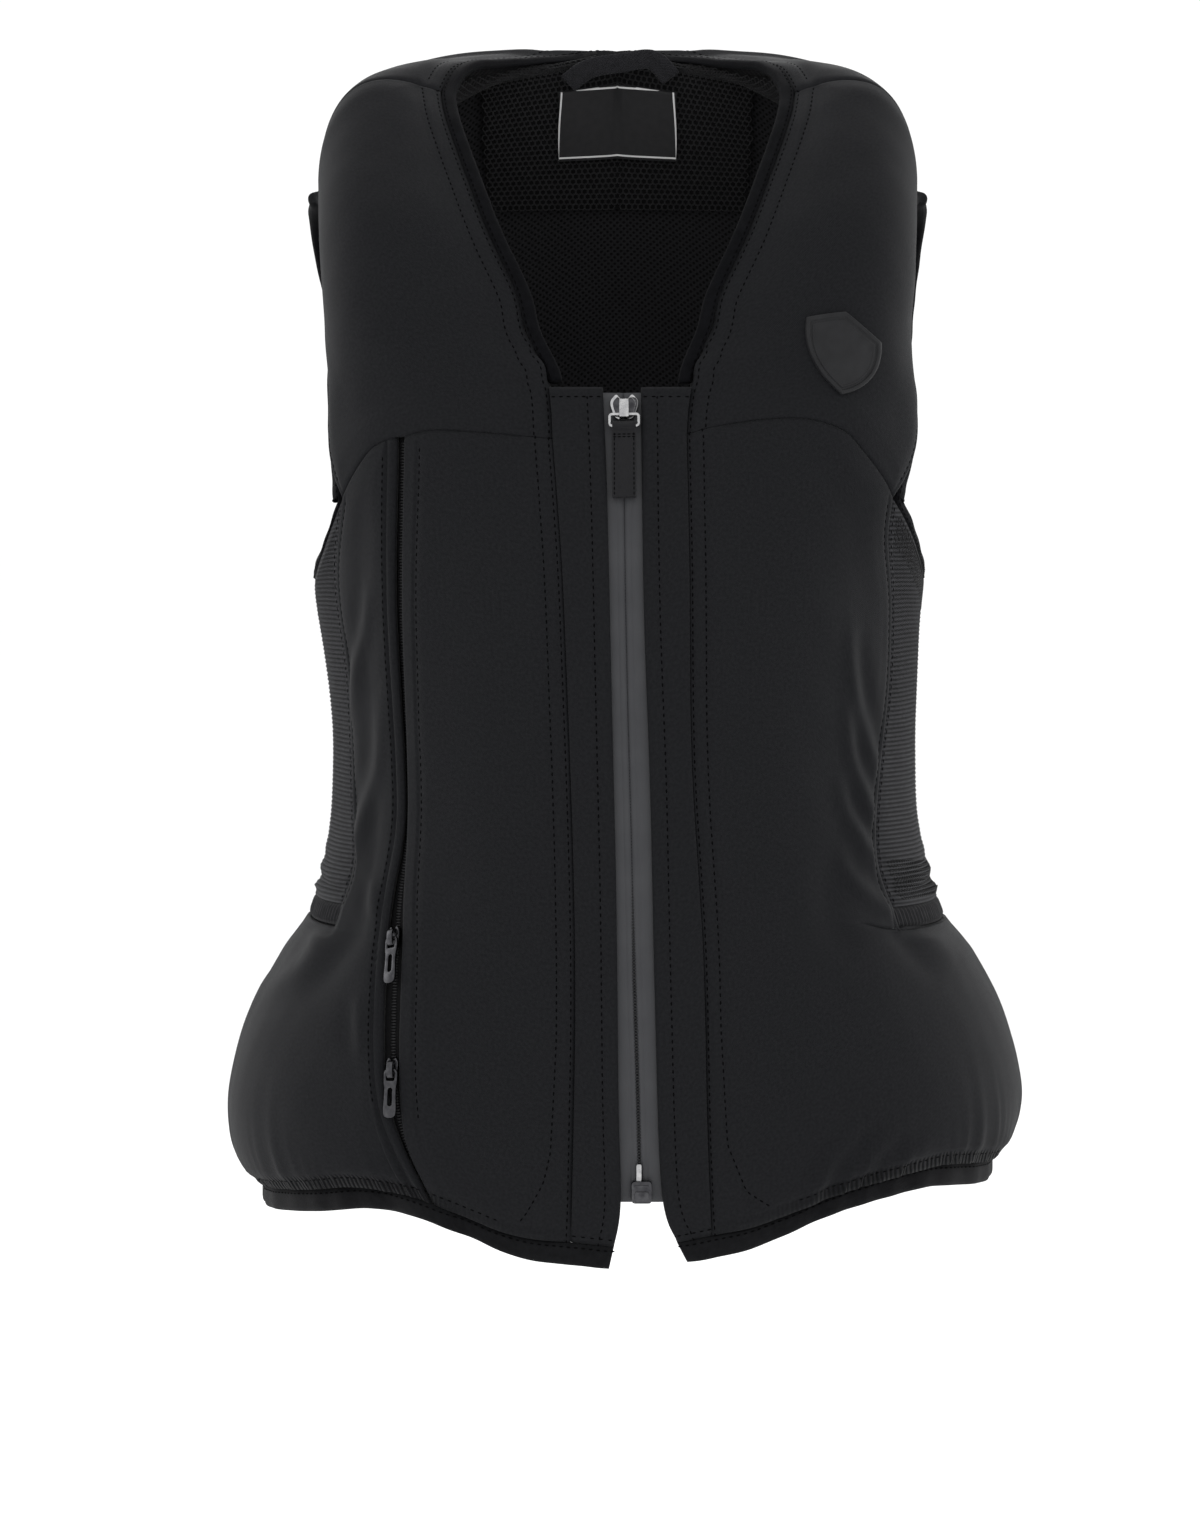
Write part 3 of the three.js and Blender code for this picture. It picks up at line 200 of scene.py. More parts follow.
def ribbed(pitch, mat, tree, shader, where, ramp, bump):  # painted shade, darker between the ribs of the knit
    run = addNode(tree, "ShaderNodeAttribute", attribute_name="ribRun").outputs["Fac"]
    wave = calc(tree, "SINE", calc(tree, "MULTIPLY", run, 2 * math.pi / pitch))
    # painted shade in the valleys between the ribs
    groove = calc(tree, "MULTIPLY", calc(tree, "SUBTRACT", 1.0, wave), 0.4)
    paintedShadeAndPrint(tree, shader, ramp, groove, (0.003, 0.003, 0.0033))
    return mat


def openKnit(name, hole, strand, pitch, rough, specular):  # small dark holes between lighter strands, their dark partly the dark layer behind and partly painted shade
    mat, tree, shader = newMaterial(name, rough, specular, sheen=0.03)
    where = addNode(tree, "ShaderNodeUVMap").outputs["UV"]
    cells = threads(tree, where, pitch, pitch, math.pi / 4)
    tinted(tree, shader, cells, ((0.3, strand), (0.55, hole)))
    emboss(tree, shader, cells, 0.8, 0.0006).invert = True
    return mat


ribPitch = 0.002
pleatPitch = 0.0023
finishes = {
    "shell": pleated(*fabric(
        "softshell", (0.007, 0.0073, 0.0085), (0.0112, 0.0116, 0.0131), 0.72, 0.085, 0.03,
        (0.00045, 0.00055), 0.35, 0.0002, 0.6, 700.0)),
    # the dark hole colour of the lining knit is partly painted shade
    "lining": openKnit("liningMesh", (0.0022, 0.0022, 0.0024), (0.0125, 0.0125, 0.0135), 0.0022, 0.85, 0.07),
    # the binding is darkened partly for painted shade on its inner face, and its hem copy is lighter for
    # painted light on the rolled top
    "binding": fabric("bindingStretch", (0.0026, 0.0027, 0.0034), (0.0048, 0.005, 0.0062), 0.8, 0.05, 0.02,
                      (0.0006, 0.0005), 0.5, 0.0003, 0.4, 300.0)[0],
    "hemBindingLit": fabric("hemStretchLit", (0.0044, 0.0045, 0.0052), (0.0074, 0.0076, 0.0086), 0.75, 0.07, 0.04,
                         (0.0006, 0.0005), 0.5, 0.0003, 0.4, 300.0)[0],
    "rib": ribbed(ribPitch, *fabric(
        "ribKnit", (0.028, 0.0283, 0.031), (0.039, 0.0394, 0.043), 0.9, 0.08, 0.06,
        (0.0009, 0.0005), 0.5, 0.0003, 0.0, 300.0)),
    "mesh": fabric("spacerMesh", (0.0032, 0.0032, 0.0035), (0.0052, 0.0052, 0.0056), 0.8, 0.06, 0.02,
                   (0.0005, 0.0005), 0.4, 0.0002, 0.3, 200.0)[0],
    "strand": fabric("meshStrand", (0.012, 0.012, 0.0128), (0.02, 0.02, 0.0212), 0.75, 0.12, 0.05,
                     (0.0004, 0.0004), 0.4, 0.0002, 0.3, 400.0)[0],
    "tape": fabric("coatedTape", (0.036, 0.037, 0.041), (0.045, 0.046, 0.050), 0.5, 0.3, 0.03,
                   (0.0006, 0.0004), 0.16, 0.0001, 0.0, 55.0)[0],
    "pocketTape": fabric("pocketTape", (0.0024, 0.0024, 0.0027), (0.0042, 0.0042, 0.0046), 0.7, 0.08, 0.0,
                         (0.0006, 0.0004), 0.3, 0.0002, 0.0, 300.0)[0],
    "band": fabric("elasticBand", (0.0105, 0.0105, 0.0118), (0.0165, 0.0165, 0.018), 0.85, 0.09, 0.05,
                   (0.0009, 0.0006), 0.5, 0.0003, 0.0, 300.0)[0],
    "webbing": fabric("wovenWebbing", (0.010, 0.010, 0.012), (0.017, 0.017, 0.020), 0.7, 0.2, 0.05,
                      (0.0011, 0.0014), 0.8, 0.0005, 0.785, 300.0)[0],
    # thread darker than the cloth: black thread, with painted shade of the needle holes and sunk stitches in
    # its colour
    "thread": fabric("sewingThreadShaded", (0.0014, 0.0014, 0.0016), (0.0024, 0.0024, 0.0027), 0.8, 0.025, 0.0,
                     (0.0004, 0.0004), 0.4, 0.0001, 0.785, 400.0)[0],
}


def metal(name, dark, light, rough, scale):
    mat, tree, shader = newMaterial(name, rough, 0.5, metal=1.0)
    where = addNode(tree, "ShaderNodeTexCoord").outputs["Object"]
    paint(tree, shader, where, dark, light, scale, 6.0)
    grain = addNode(tree, "ShaderNodeTexNoise", {"Vector": where, "Scale": 2600.0, "Detail": 3.0})
    rub = addNode(tree, "ShaderNodeMapRange", {"Value": grain.outputs["Fac"], "To Min": rough - 0.08,
                                               "To Max": rough + 0.1})
    tree.links.new(rub.outputs["Result"], shader.inputs["Roughness"])
    emboss(tree, shader, grain.outputs["Fac"], 0.12, 0.0001)
    return mat


def moulded(name, dark, light, rough, specular, grainScale, strength):
    mat, tree, shader = newMaterial(name, rough, specular)
    where = addNode(tree, "ShaderNodeTexCoord").outputs["Object"]
    paint(tree, shader, where, dark, light, 140.0)
    grain = addNode(tree, "ShaderNodeTexNoise", {"Vector": where, "Scale": grainScale, "Detail": 4.0})
    emboss(tree, shader, grain.outputs["Fac"], strength, 0.0002)
    return mat


finishes["nickel"] = metal("nickelPlate", (0.36, 0.36, 0.37), (0.55, 0.55, 0.55), 0.26, 420.0)
finishes["gunmetal"] = metal("gunmetalPlate", (0.04, 0.04, 0.044), (0.085, 0.085, 0.09), 0.3, 380.0)
finishes["coil"] = moulded("nylonCoil", (0.005, 0.005, 0.0056), (0.010, 0.010, 0.0112), 0.45, 0.3, 900.0, 0.2)
finishes["rubber"] = moulded("badgeRubber", (0.0098, 0.01, 0.0112), (0.0145, 0.0147, 0.0162), 0.55, 0.22,
                             1500.0, 0.15)
floorMat, floorTree, floorShader = newMaterial("paleFloor", 0.9, 0.1)
floorWhere = addNode(floorTree, "ShaderNodeTexCoord").outputs["Object"]
paint(floorTree, floorShader, floorWhere, (studio["floorTone"] - 0.01,) * 3, (studio["floorTone"],) * 3, 3.0)
half = studio["floorSize"] / 2
floorMesh = bpy.data.meshes.new("floor")
floorMesh.from_pydata([(-half, -half, studio["floorZ"]), (half, -half, studio["floorZ"]),
                       (half, half, studio["floorZ"]), (-half, half, studio["floorZ"])], [], [(0, 1, 2, 3)])
floorMesh.materials.append(floorMat)
floor = linked("floor", floorMesh)
floor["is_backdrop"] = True
print("studio and finishes ready")

# form of the vest: sections round the body, hem to bust
# midX yFront zFront yBack zBack xRight zRight xLeft zLeft square pad
torsoRows = np.array([
    [8.0, -127, -478, 110, -463, 156, -468, 161, -454, 2.2, 6],
    [7.5, -132, -452, 117, -446, 177, -448, 179, -436, 2.35, 16],
    [7.0, -134, -424, 120, -420, 182, -422, 184, -416, 2.5, 26],
    [6.0, -134, -388, 117, -386, 174, -386, 177, -383, 2.45, 22],
    [5.0, -134, -357, 111, -356, 158, -355, 163, -355, 2.4, 14],
    [4.5, -133, -334, 106, -334, 144, -333, 148, -334, 2.35, 10],
    [3.5, -132, -290, 101, -290, 135, -290, 137, -290, 2.4, 10],
    [2.0, -131, -236, 103, -236, 135, -236, 136, -236, 2.45, 11],
    [1.0, -128, -188, 112, -188, 142, -188, 139, -188, 2.4, 12],
])
# sections of the front straps: shift xIn yIn zIn xOut yOut zOut square crown pad
frontRows = np.array([
    [0.5, 0, -117, -146, 140, -28, -146, 2.3, 2, 14],
    [0.0, 0, -100, -95, 132, -46, -104, 2.4, 6, 18],
    [-2, 37, -92.5, -78, 131, -34, -72, 2.5, 11, 24],
    [-2, 45.5, -83, -54, 133, -24, -46, 2.45, 14, 30],
    [-2, 58.3, -69, -26, 135, -15, -24, 2.4, 14, 34.5],
    [-2, 69.5, -45, 3, 136, -8, -11, 2.3, 13, 37],
    [-2, 78, -22.5, 27, 136.5, -3, -6, 2.2, 12, 39.2],
    [-2, 81, -5, 41, 136, 1, -4, 2.2, 12, 41],
])
# sections of the back yoke, the same and spine
backRows = np.array([
    [0, 0, 117, -146, 137, 40, -140, 2.3, 0, 16, 1],
    [0, 0, 119, -98, 134, 54, -96, 2.4, 0, 18, 1],
    [-1, 0, 113, -52, 135, 56, -56, 2.5, 2, 22, 1],
    [-2, 0, 100, -8, 137, 52, -32, 2.6, 4, 26, 0.9],
    [-2, 0, 84, 28, 138, 42, -17, 2.7, 6, 30, 0.5],
    [-2, 0, 67, 61, 138, 33, -12, 2.8, 8, 34, 0],
    [-2, 29, 59, 60.5, 137.5, 25, -10, 2.6, 6, 34, 0],
    [-2, 54, 42, 57.5, 137, 17, -8, 2.35, 5, 35, 0],
    [-2, 73, 16, 54, 136.5, 9, -6, 2.2, 6, 37, 0],
    [-2, 81, -5, 41, 136, 1, -4, 2.2, 12, 41, 0],
])
frontTop = len(torsoRows) + len(frontRows) - 1.0
backTop = len(torsoRows) + len(backRows) - 1.0
sewing = {"edge": 4.0, "selvage": 4.0, "depth": 3.6, "rise": 14.0, "leastWall": 2.0, "gap": 0.07}
bandLow, bandHigh = 4.85, 5.17  # sections under and over the side band
backRib = 0.69  # how far round the back the stretch panel reaches


def sideForm(name, sign):
    x, z = (5, 6) if sign < 0 else (7, 8)
    count = len(torsoRows)
    none, full = np.zeros(count), np.ones(count)

    def torso(xIn, y, zIn, spine):
        return np.column_stack([xIn, torsoRows[:, y], torsoRows[:, zIn], sign * torsoRows[:, x], none,
                                torsoRows[:, z], torsoRows[:, 9], none, torsoRows[:, 10], spine])

    def strap(rows, spine):
        return np.column_stack([rows[:, 0] + sign * rows[:, 1], rows[:, 2:4], rows[:, 0] + sign * rows[:, 4],
                                rows[:, 5:10], spine])

    front = np.vstack([torso(torsoRows[:, 0], 1, 2, none), strap(frontRows, np.zeros(len(frontRows)))])
    back = np.vstack([torso(none, 3, 4, full), strap(backRows, backRows[:, 10])])
    return {"name": name, "sign": sign, "front": front, "back": back}


right, left = sideForm("right", -1), sideForm("left", 1)


def smooth(x, low, high):
    f = np.clip((x - low) / (high - low), 0, 1)
    return f * f * (3 - 2 * f)


def bell(d, width):
    return np.exp(-((d / width) ** 2))


def between(rows, t):
    last = len(rows) - 1
    i = np.clip(np.floor(t).astype(int), 0, last - 1)
    f = (t - i)[..., None]
    b, c = rows[i], rows[i + 1]
    a = np.where((i > 0)[..., None], rows[np.maximum(i - 1, 0)], 2 * b - c)
    d = np.where((i + 2 <= last)[..., None], rows[np.minimum(i + 2, last)], 2 * c - b)
    slopeIn, slopeOut = (c - a) / 2, (d - b) / 2
    square = 3 * (c - b) - 2 * slopeIn - slopeOut
    return b + f * (slopeIn + f * (square + f * (2 * (b - c) + slopeIn + slopeOut)))


def unit(v):
    return v / np.maximum(np.linalg.norm(v, axis=-1, keepdims=True), 1e-9)


def inward(p):  # from the shell towards the body, turning down at the shoulders
    rise = smooth(p[..., 2], -150, 40)
    upright = 1 - 0.6 * smooth(p[..., 1], 10, 60)
    core = [p[..., 0] * (0.3 + 0.62 * rise), np.zeros_like(rise), p[..., 2] - 120 * rise * upright]
    return unit(np.stack(core, -1) - p)


def shell(rows, s, t):
    v = between(rows, t)
    turn = np.clip(s, 0, 1) * math.pi / 2
    power = 2 / v[..., 6]
    across = np.sin(turn) ** power
    around = 1 - np.maximum(np.cos(turn), 0) ** power
    share = np.stack([across, around, around], -1)
    p = v[..., 0:3] + (v[..., 3:6] - v[..., 0:3]) * share
    return p - inward(p) * (v[..., 7] * np.sin(2 * turn))[..., None]


def padDepth(rows, s, t):
    v = between(rows, t)
    turn = np.clip(s, 0, 1) * math.pi / 2
    pillow = np.maximum(np.sin(2 * turn), 0) ** 0.6
    slab = np.maximum(np.cos(turn), 0) ** 0.5
    return sewing["edge"] + (v[..., 8] - sewing["edge"]) * (pillow + (slab - pillow) * v[..., 9])


def bisect(f, low, high, times=24):  # f tells where the middle still lies below
    for _ in range(times):
        mid = (low + high) / 2
        under = f(mid)
        low, high = np.where(under, mid, low), np.where(under, high, mid)
    return (low + high) / 2


def findFront(side, x, z):  # place on the front shell that shows at x outwards and z
    x, z = np.broadcast_arrays(np.atleast_1d(np.asarray(x, float)), np.asarray(z, float))
    rows, sign = side["front"], side["sign"]

    def shareAt(t):
        return bisect(lambda s: sign * shell(rows, s, t)[..., 0] < x, np.zeros(x.shape), np.ones(x.shape))

    t = bisect(lambda level: shell(rows, shareAt(level), level)[..., 2] < z,
               np.zeros(x.shape), np.full(x.shape, frontTop))
    return np.stack([shareAt(t), t], -1)


def placesOn(side, points):
    return findFront(side, *np.array(points, float).T)


def splineAt(points, f):
    points = np.asarray(points, float)
    last = len(points) - 1
    q = np.clip(f, 0, 1) * last
    i = np.minimum(np.floor(q).astype(int), last)
    w = (q - i)[..., None]
    p0, p1 = points[np.maximum(i - 1, 0)], points[i]
    p2, p3 = points[np.minimum(i + 1, last)], points[np.minimum(i + 2, last)]
    v0, v1 = (p2 - p0) / 2, (p3 - p1) / 2
    return ((2 * p1 - 2 * p2 + v0 + v1) * w + 3 * (p2 - p1) - 2 * v0 - v1) * w * w + v0 * w + p1


def lengths(points):
    return np.concatenate([[0], np.cumsum(np.linalg.norm(np.diff(points, axis=0), axis=1))])


def spline(points, shares):  # by share of its length
    steps = np.linspace(0, 1, 201)
    run = lengths(splineAt(points, steps))
    return splineAt(points, np.interp(np.asarray(shares) * run[-1], run, steps))


def seam(side, points, shares):
    return findFront(side, *spline(points, shares).T)


def spaced(length, step, near=0.8, reach=11.0):  # shares of a run, closer together at both ends
    ends = np.arange(0, reach, near)
    middle = np.linspace(reach, length - reach, max(int((length - 2 * reach) / step), 2))
    return np.concatenate([ends, middle, (length - ends)[::-1]]) / length


# seams of the front: x outwards and z in the front view
rightSeams = {
    "zipEdge": [(9, -97), (7, -147), (5, -234), (3, -321), (2, -408), (1, -454), (4, -474)],
    "placket": [(31, -120), (27, -173), (25, -216), (22, -299), (21, -365), (22, -431), (23, -472)],
    "notch": [(31, -120), (31.6, -108), (32.8, -97)],
    "neck": [(34.6, -90), (39, -78), (43, -67)],
    "yoke": [(31, -120), (63, -117), (85, -116), (100, -119), (112, -124), (121, -136), (126, -146)],
    "rib": [(126, -146), (129, -174), (126, -210), (123, -246), (122, -282), (121, -308)],
    "hem": [(23, -472), (40, -471), (54, -468), (67, -463), (84, -457), (98, -453), (121, -451), (145, -455)],
    "sideHem": -460,
}
leftSeams = {
    "zipEdge": [(8, -97), (9, -190), (12, -277), (14, -365), (17, -448), (24, -472)],
    "placket": [(28, -118), (29, -173), (30, -260), (35, -343), (37, -422), (39, -469)],
    "notch": [(28, -118), (28.8, -107), (30.4, -97)],
    "neck": [(32, -90), (35.2, -78), (39.2, -67)],
    "yoke": [(28, -118), (43, -114), (65, -111), (82, -111), (98, -116), (107, -125), (117, -138),
             (121, -146)],
    "rib": [(121, -146), (119, -164), (121, -192), (120, -228), (116, -264), (114, -305)],
    "hem": [(39, -469), (56, -466), (72, -461), (100, -451), (133, -444), (152, -443)],
    "sideHem": -445.5,
}
right["seams"], left["seams"] = rightSeams, leftSeams
pocketRows = np.array([  # x z half
    [99.5, -119, 1.6], [100.5, -191, 1.6], [97.5, -262, 0.8], [97.5, -292, 0.8], [101, -322, 2.6],
    [102.5, -346, 3.7], [103.5, -386, 3.7], [102, -412, 2.8], [97, -432, 1.0], [85, -456.5, 0.2],
])
bodyMarks = [0, 5, 9, 10, 18]  # steps of a body seam: hem, band, its corners, yoke
backMarks = bodyMarks + [23, 28]  # and of the back: neck, shoulder
bodyKnots = np.array(bodyMarks) / bodyMarks[-1]
bodyLevels = np.array([0, 0.27, 0.335, 0.385, 1])
notchShare = 0.935


def along(points, side):  # a body seam from the hem up, by step
    return lambda v: seam(side, points[::-1], np.interp(v, bodyKnots, bodyLevels))


def stepped(marks, *counts):  # shares of a seam, so many between each two marks
    parts = [np.linspace(a, b, n, endpoint=False) for a, b, n in zip(marks, marks[1:], counts)]
    return np.concatenate(parts + [marks[-1:]]) / marks[-1]


def stretch(points):  # a run through places, by share
    return lambda f: spline(points, f)


def straight(a, b):
    return lambda f: np.asarray(a) + (np.asarray(b) - np.asarray(a)) * np.asarray(f)[:, None]


def joined(parts):  # several runs end to end, each given its number of steps
    total = sum(steps for steps, run in parts)

    def at(f):
        q = np.asarray(f) * total
        out = np.empty((len(q), 2))
        low = 0
        for steps, run in parts:
            here = (q >= low) & (q <= low + steps)
            if here.any():
                out[here] = run((q[here] - low) / steps)
            low += steps
        return out

    return at


def placeAt(run, share):
    return run(np.array([share]))[0]


def endsOf(run):
    return run(np.array([0.0, 1.0]))


def prepareRuns(side):
    seams = side["seams"]
    hemLevel = bisect(lambda t: shell(side["front"], np.ones(1), t)[..., 2] < seams["sideHem"],
                      np.zeros(1), np.full(1, 4.0))[0]
    ribFoot = np.array([findFront(side, *seams["rib"][-1])[0, 0] + 0.02, bandHigh])
    ribCorner = np.array([ribFoot[0], bandLow])
    ribUp = np.vstack([ribFoot, placesOn(side, seams["rib"][::-1])])
    side.update(hemLevel=hemLevel, ribFoot=ribFoot, ribUp=ribUp)
    side["edgeRun"] = joined([
        (5, straight((1, hemLevel), (1, bandLow))), (4, straight((1, bandLow), ribCorner)),
        (1, straight(ribCorner, ribFoot)), (8, stretch(ribUp))])
    side["placketRun"] = along(seams["placket"], side)
    side["placketFoot"] = placeAt(side["placketRun"], 0.0)
    side["placketHead"] = placeAt(side["placketRun"], 1.0)
    side["notchRun"] = lambda f: seam(side, seams["notch"], f)


prepareRuns(right)
prepareRuns(left)
lipIn = along(np.column_stack([pocketRows[:, 0] - pocketRows[:, 2], pocketRows[:, 1]]), right)
lipOut = along(np.column_stack([pocketRows[:, 0] + pocketRows[:, 2], pocketRows[:, 1]]), right)
lipInEnds, lipOutEnds = endsOf(lipIn), endsOf(lipOut)
yokePlaces = placesOn(right, rightSeams["yoke"])
yokeNear = stretch(np.vstack([right["placketHead"], yokePlaces[1:3], lipInEnds[1]]))
yokeFar = stretch(np.vstack([lipOutEnds[1], yokePlaces[4:-1], right["ribUp"][-1]]))
right["yokeRun"] = joined([(6, yokeNear), (1, straight(lipInEnds[1], lipOutEnds[1])), (9, yokeFar)])
left["yokeRun"] = stretch(np.vstack([
    left["placketHead"], placesOn(left, leftSeams["yoke"][1:-1]), left["ribUp"][-1]]))


def hemRun(side, points, start, end):
    return stretch(np.vstack([start, placesOn(side, points), end]))


# panels as grids of places inside four edges
allEdges = ("inner", "outer", "bottom", "top")


def coons(edges, u, v):
    inner, outer = edges["inner"](v)[:, None], edges["outer"](v)[:, None]
    bottom, top = edges["bottom"](u)[None], edges["top"](u)[None]
    uu, vv = u[None, :, None], v[:, None, None]
    ruled = (1 - vv) * bottom + vv * top + (1 - uu) * inner + uu * outer
    low = (1 - uu) * bottom[:, :1] + uu * bottom[:, -1:]
    high = (1 - uu) * top[:, :1] + uu * top[:, -1:]
    return ruled - (1 - vv) * low - vv * high


def edgePoints(grid, edge):
    return {"inner": grid[:, 0], "outer": grid[:, -1], "bottom": grid[0], "top": grid[-1]}[edge]


def distanceFrom(grid, line):
    tree = KDTree(4 * (len(line) - 1) + 1)
    steps = np.linspace(0, len(line) - 1, 4 * (len(line) - 1) + 1)
    whole = np.arange(len(line))
    fine = np.column_stack([np.interp(steps, whole, line[:, k]) for k in range(3)])
    for k, p in enumerate(fine.tolist()):
        tree.insert(p, k)
    tree.balance()
    flat = [tree.find(p)[2] for p in grid.reshape(-1, 3).tolist()]
    return np.array(flat).reshape(grid.shape[:2])


def layPanel(edges, at, u, v, joinedShare=0.0):
    places = coons(edges, u, v)
    base = at(places[..., 0], places[..., 1])
    panel = {"u": u, "v": v, "places": places, "base": base, "toBody": inward(base)}
    lines = {e: edgePoints(base, e) for e in allEdges}
    lines["inner"] = lines["inner"][v >= joinedShare - 1e-9]
    panel["away"] = {e: distanceFrom(base, line) for e, line in lines.items()}
    return panel


def edgeGap(panel, edges=allEdges):
    return np.minimum.reduce([panel["away"][e] for e in edges])


def normalsOf(grid):
    across, up = np.gradient(grid, axis=1), np.gradient(grid, axis=0)
    return unit(np.cross(across, up))


def outwardNormals(panel):
    normals = normalsOf(panel["outer"])
    return -normals if (normals * panel["toBody"]).sum(-1).mean() > 0 else normals


def trimmed(grid, sides, amount=sewing["gap"] / 2):
    out = grid.copy()
    pairs = {"inner": (np.s_[:, 0], np.s_[:, 2]), "outer": (np.s_[:, -1], np.s_[:, -3]),
             "bottom": (np.s_[0], np.s_[2]), "top": (np.s_[-1], np.s_[-3])}
    for s in sides:
        edge, inside = pairs[s]
        out[edge] = out[edge] + unit(grid[inside] - grid[edge]) * amount
    return out


print("form and seams ready")


# meshes
def gridUv(grid):
    run = np.linalg.norm(np.diff(grid, axis=1), axis=-1)
    rise = np.linalg.norm(np.diff(grid, axis=0), axis=-1)
    u = np.concatenate([np.zeros((grid.shape[0], 1)), np.cumsum(run, axis=1)], axis=1)
    v = np.concatenate([np.zeros((1, grid.shape[1])), np.cumsum(rise, axis=0)], axis=0)
    return np.stack([u, v], -1) * mm


def wallFaces(rows, cols, joinedRows=0, innerRim=0):
    i = np.arange(rows * cols).reshape(rows, cols)
    k = i + rows * cols
    quads = np.stack([i[:-1, :-1], i[:-1, 1:], i[1:, 1:], i[1:, :-1]], -1).reshape(-1, 4)
    lining = quads[:, ::-1] + rows * cols

    def rim(a, b):
        return np.stack([a[:-1], a[1:], b[1:], b[:-1]], -1)

    rims = [rim(i[joinedRows:, 0], k[joinedRows:, 0]), rim(i[::-1, -1], k[::-1, -1]),
            rim(i[0, ::-1], k[0, ::-1]), rim(i[-1], k[-1])]
    faces = np.vstack([quads, lining] + rims)
    slots = np.concatenate([np.zeros(len(quads), int), np.ones(len(lining), int),
                            np.full(len(rims[0]), innerRim), np.zeros(sum(len(r) for r in rims[1:]), int)])
    return faces, slots


def halfIndex(halves, rows, cols, joinedRows):  # later halves share the middle points of the first
    found = [np.arange(2 * rows * cols).reshape(2, rows, cols)]
    for k in range(1, halves):
        index = found[0] + 2 * rows * cols * k
        index[:, :joinedRows + 1, 0] = found[0][:, :joinedRows + 1, 0]
        found.append(index)
    return found


def facedOut(verts, faces):
    a, b, c, d = (verts[faces[:, k]] for k in range(4))
    volume = (a * np.cross(b, c)).sum() + (a * np.cross(c, d)).sum()
    return faces if volume > 0 else faces[:, ::-1]


def setUv(mesh, places):  # one place for each vertex
    corners = np.empty(len(mesh.loops), np.int32)
    mesh.loops.foreach_get("vertex_index", corners)
    mesh.uv_layers.new(name="cloth").data.foreach_set("uv", places[corners].astype(np.float32).ravel())


def addPiece(name, verts, faces, mats, uv, slots=None):
    name += "_sewn"
    mesh = bpy.data.meshes.new(name)
    mesh.from_pydata((verts * mm).tolist(), [], faces if isinstance(faces, list) else faces.tolist())
    setUv(mesh, uv)
    for mat in mats:
        mesh.materials.append(mat)
    if slots is not None:
        mesh.polygons.foreach_set("material_index", np.asarray(slots, np.int32))
    mesh.polygons.foreach_set("use_smooth", np.ones(len(mesh.polygons), bool))
    mesh.update()
    return linked(name, mesh)


def bothFaces(outer, inner):
    return np.vstack([grid.reshape(-1, grid.shape[-1]) for grid in (outer, inner)])


def wallPiece(name, panel, outside, inside):
    outer, inner = panel["outer"], panel["inner"]
    verts = bothFaces(outer, inner)
    faces, slots = wallFaces(*outer.shape[:2])
    uv = bothFaces(gridUv(outer), gridUv(inner))
    return addPiece(name, verts, facedOut(verts, faces), [outside, inside], uv, slots)


def setAttribute(mesh, name, kind, values):
    key = "vector" if kind == "FLOAT_VECTOR" else "value"
    layer = mesh.attributes.new(name, kind, "POINT")
    layer.data.foreach_set(key, np.asarray(values, np.float32).ravel())


def outsideOnly(values):  # a share on the outer skin, none on the lining
    return np.concatenate([values.ravel(), np.zeros(values.size)])


def hand(obj, slot, *nodes, body="vest"):
    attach(obj, body)
    if nodes:
        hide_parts(*nodes)
    return obj


def sweep(name, rings, mat, closed=False):
    count, sides = rings.shape[:2]
    steps = count if closed else count - 1
    k, m = np.meshgrid(np.arange(steps), np.arange(sides), indexing="ij")
    kNext, mNext = (k + 1) % count, (m + 1) % sides
    faces = np.stack([k * sides + m, k * sides + mNext, kNext * sides + mNext, kNext * sides + m], -1)
    faces = faces.reshape(-1, 4)
    verts = rings.reshape(-1, 3)
    run = lengths(rings.mean(1))
    girth = lengths(np.vstack([rings[0], rings[0][:1]]))[:-1]
    uv = np.stack(np.broadcast_arrays(girth[None, :], run[:, None]), -1).reshape(-1, 2) * mm
    if not closed:  # end caps fan out from a middle point
        ends = np.vstack([rings[0].mean(0), rings[-1].mean(0)])
        n = len(verts)
        verts = np.vstack([verts, ends])
        uv = np.vstack([uv, [[0, 0], [0, run[-1] * mm]]])
        m = np.arange(sides)
        last = (count - 1) * sides
        tri = [(n, (j + 1) % sides, j) for j in m] + [(n + 1, last + j, last + (j + 1) % sides) for j in m]
    else:
        tri = []
    volume = sum((verts[f[0]] * np.cross(verts[f[1]], verts[f[2]])).sum() for f in tri)
    a, b, c, d = (verts[faces[:, j]] for j in range(4))
    volume += (a * np.cross(b, c)).sum() + (a * np.cross(c, d)).sum()
    listed = faces.tolist() + [list(f) for f in tri]
    if volume < 0:
        listed = [f[::-1] for f in listed]
    return addPiece(name, verts, listed, [mat], uv)


def waver(p, wavelength, seed):  # slow unevenness of cloth, without a random draw
    q = p * (2 * math.pi / wavelength)
    x, y, z = np.moveaxis(q, -1, 0)
    a = np.sin(x * 0.8 + z * 0.6 + seed) + np.sin(z * 1.1 - x * 0.4 + 2.1 * seed)
    b = np.sin(y * 1.3 + z * 0.5 + 0.7 * seed) * np.sin(x * 0.9 + 1.7 * seed)
    return (a + b) / 3


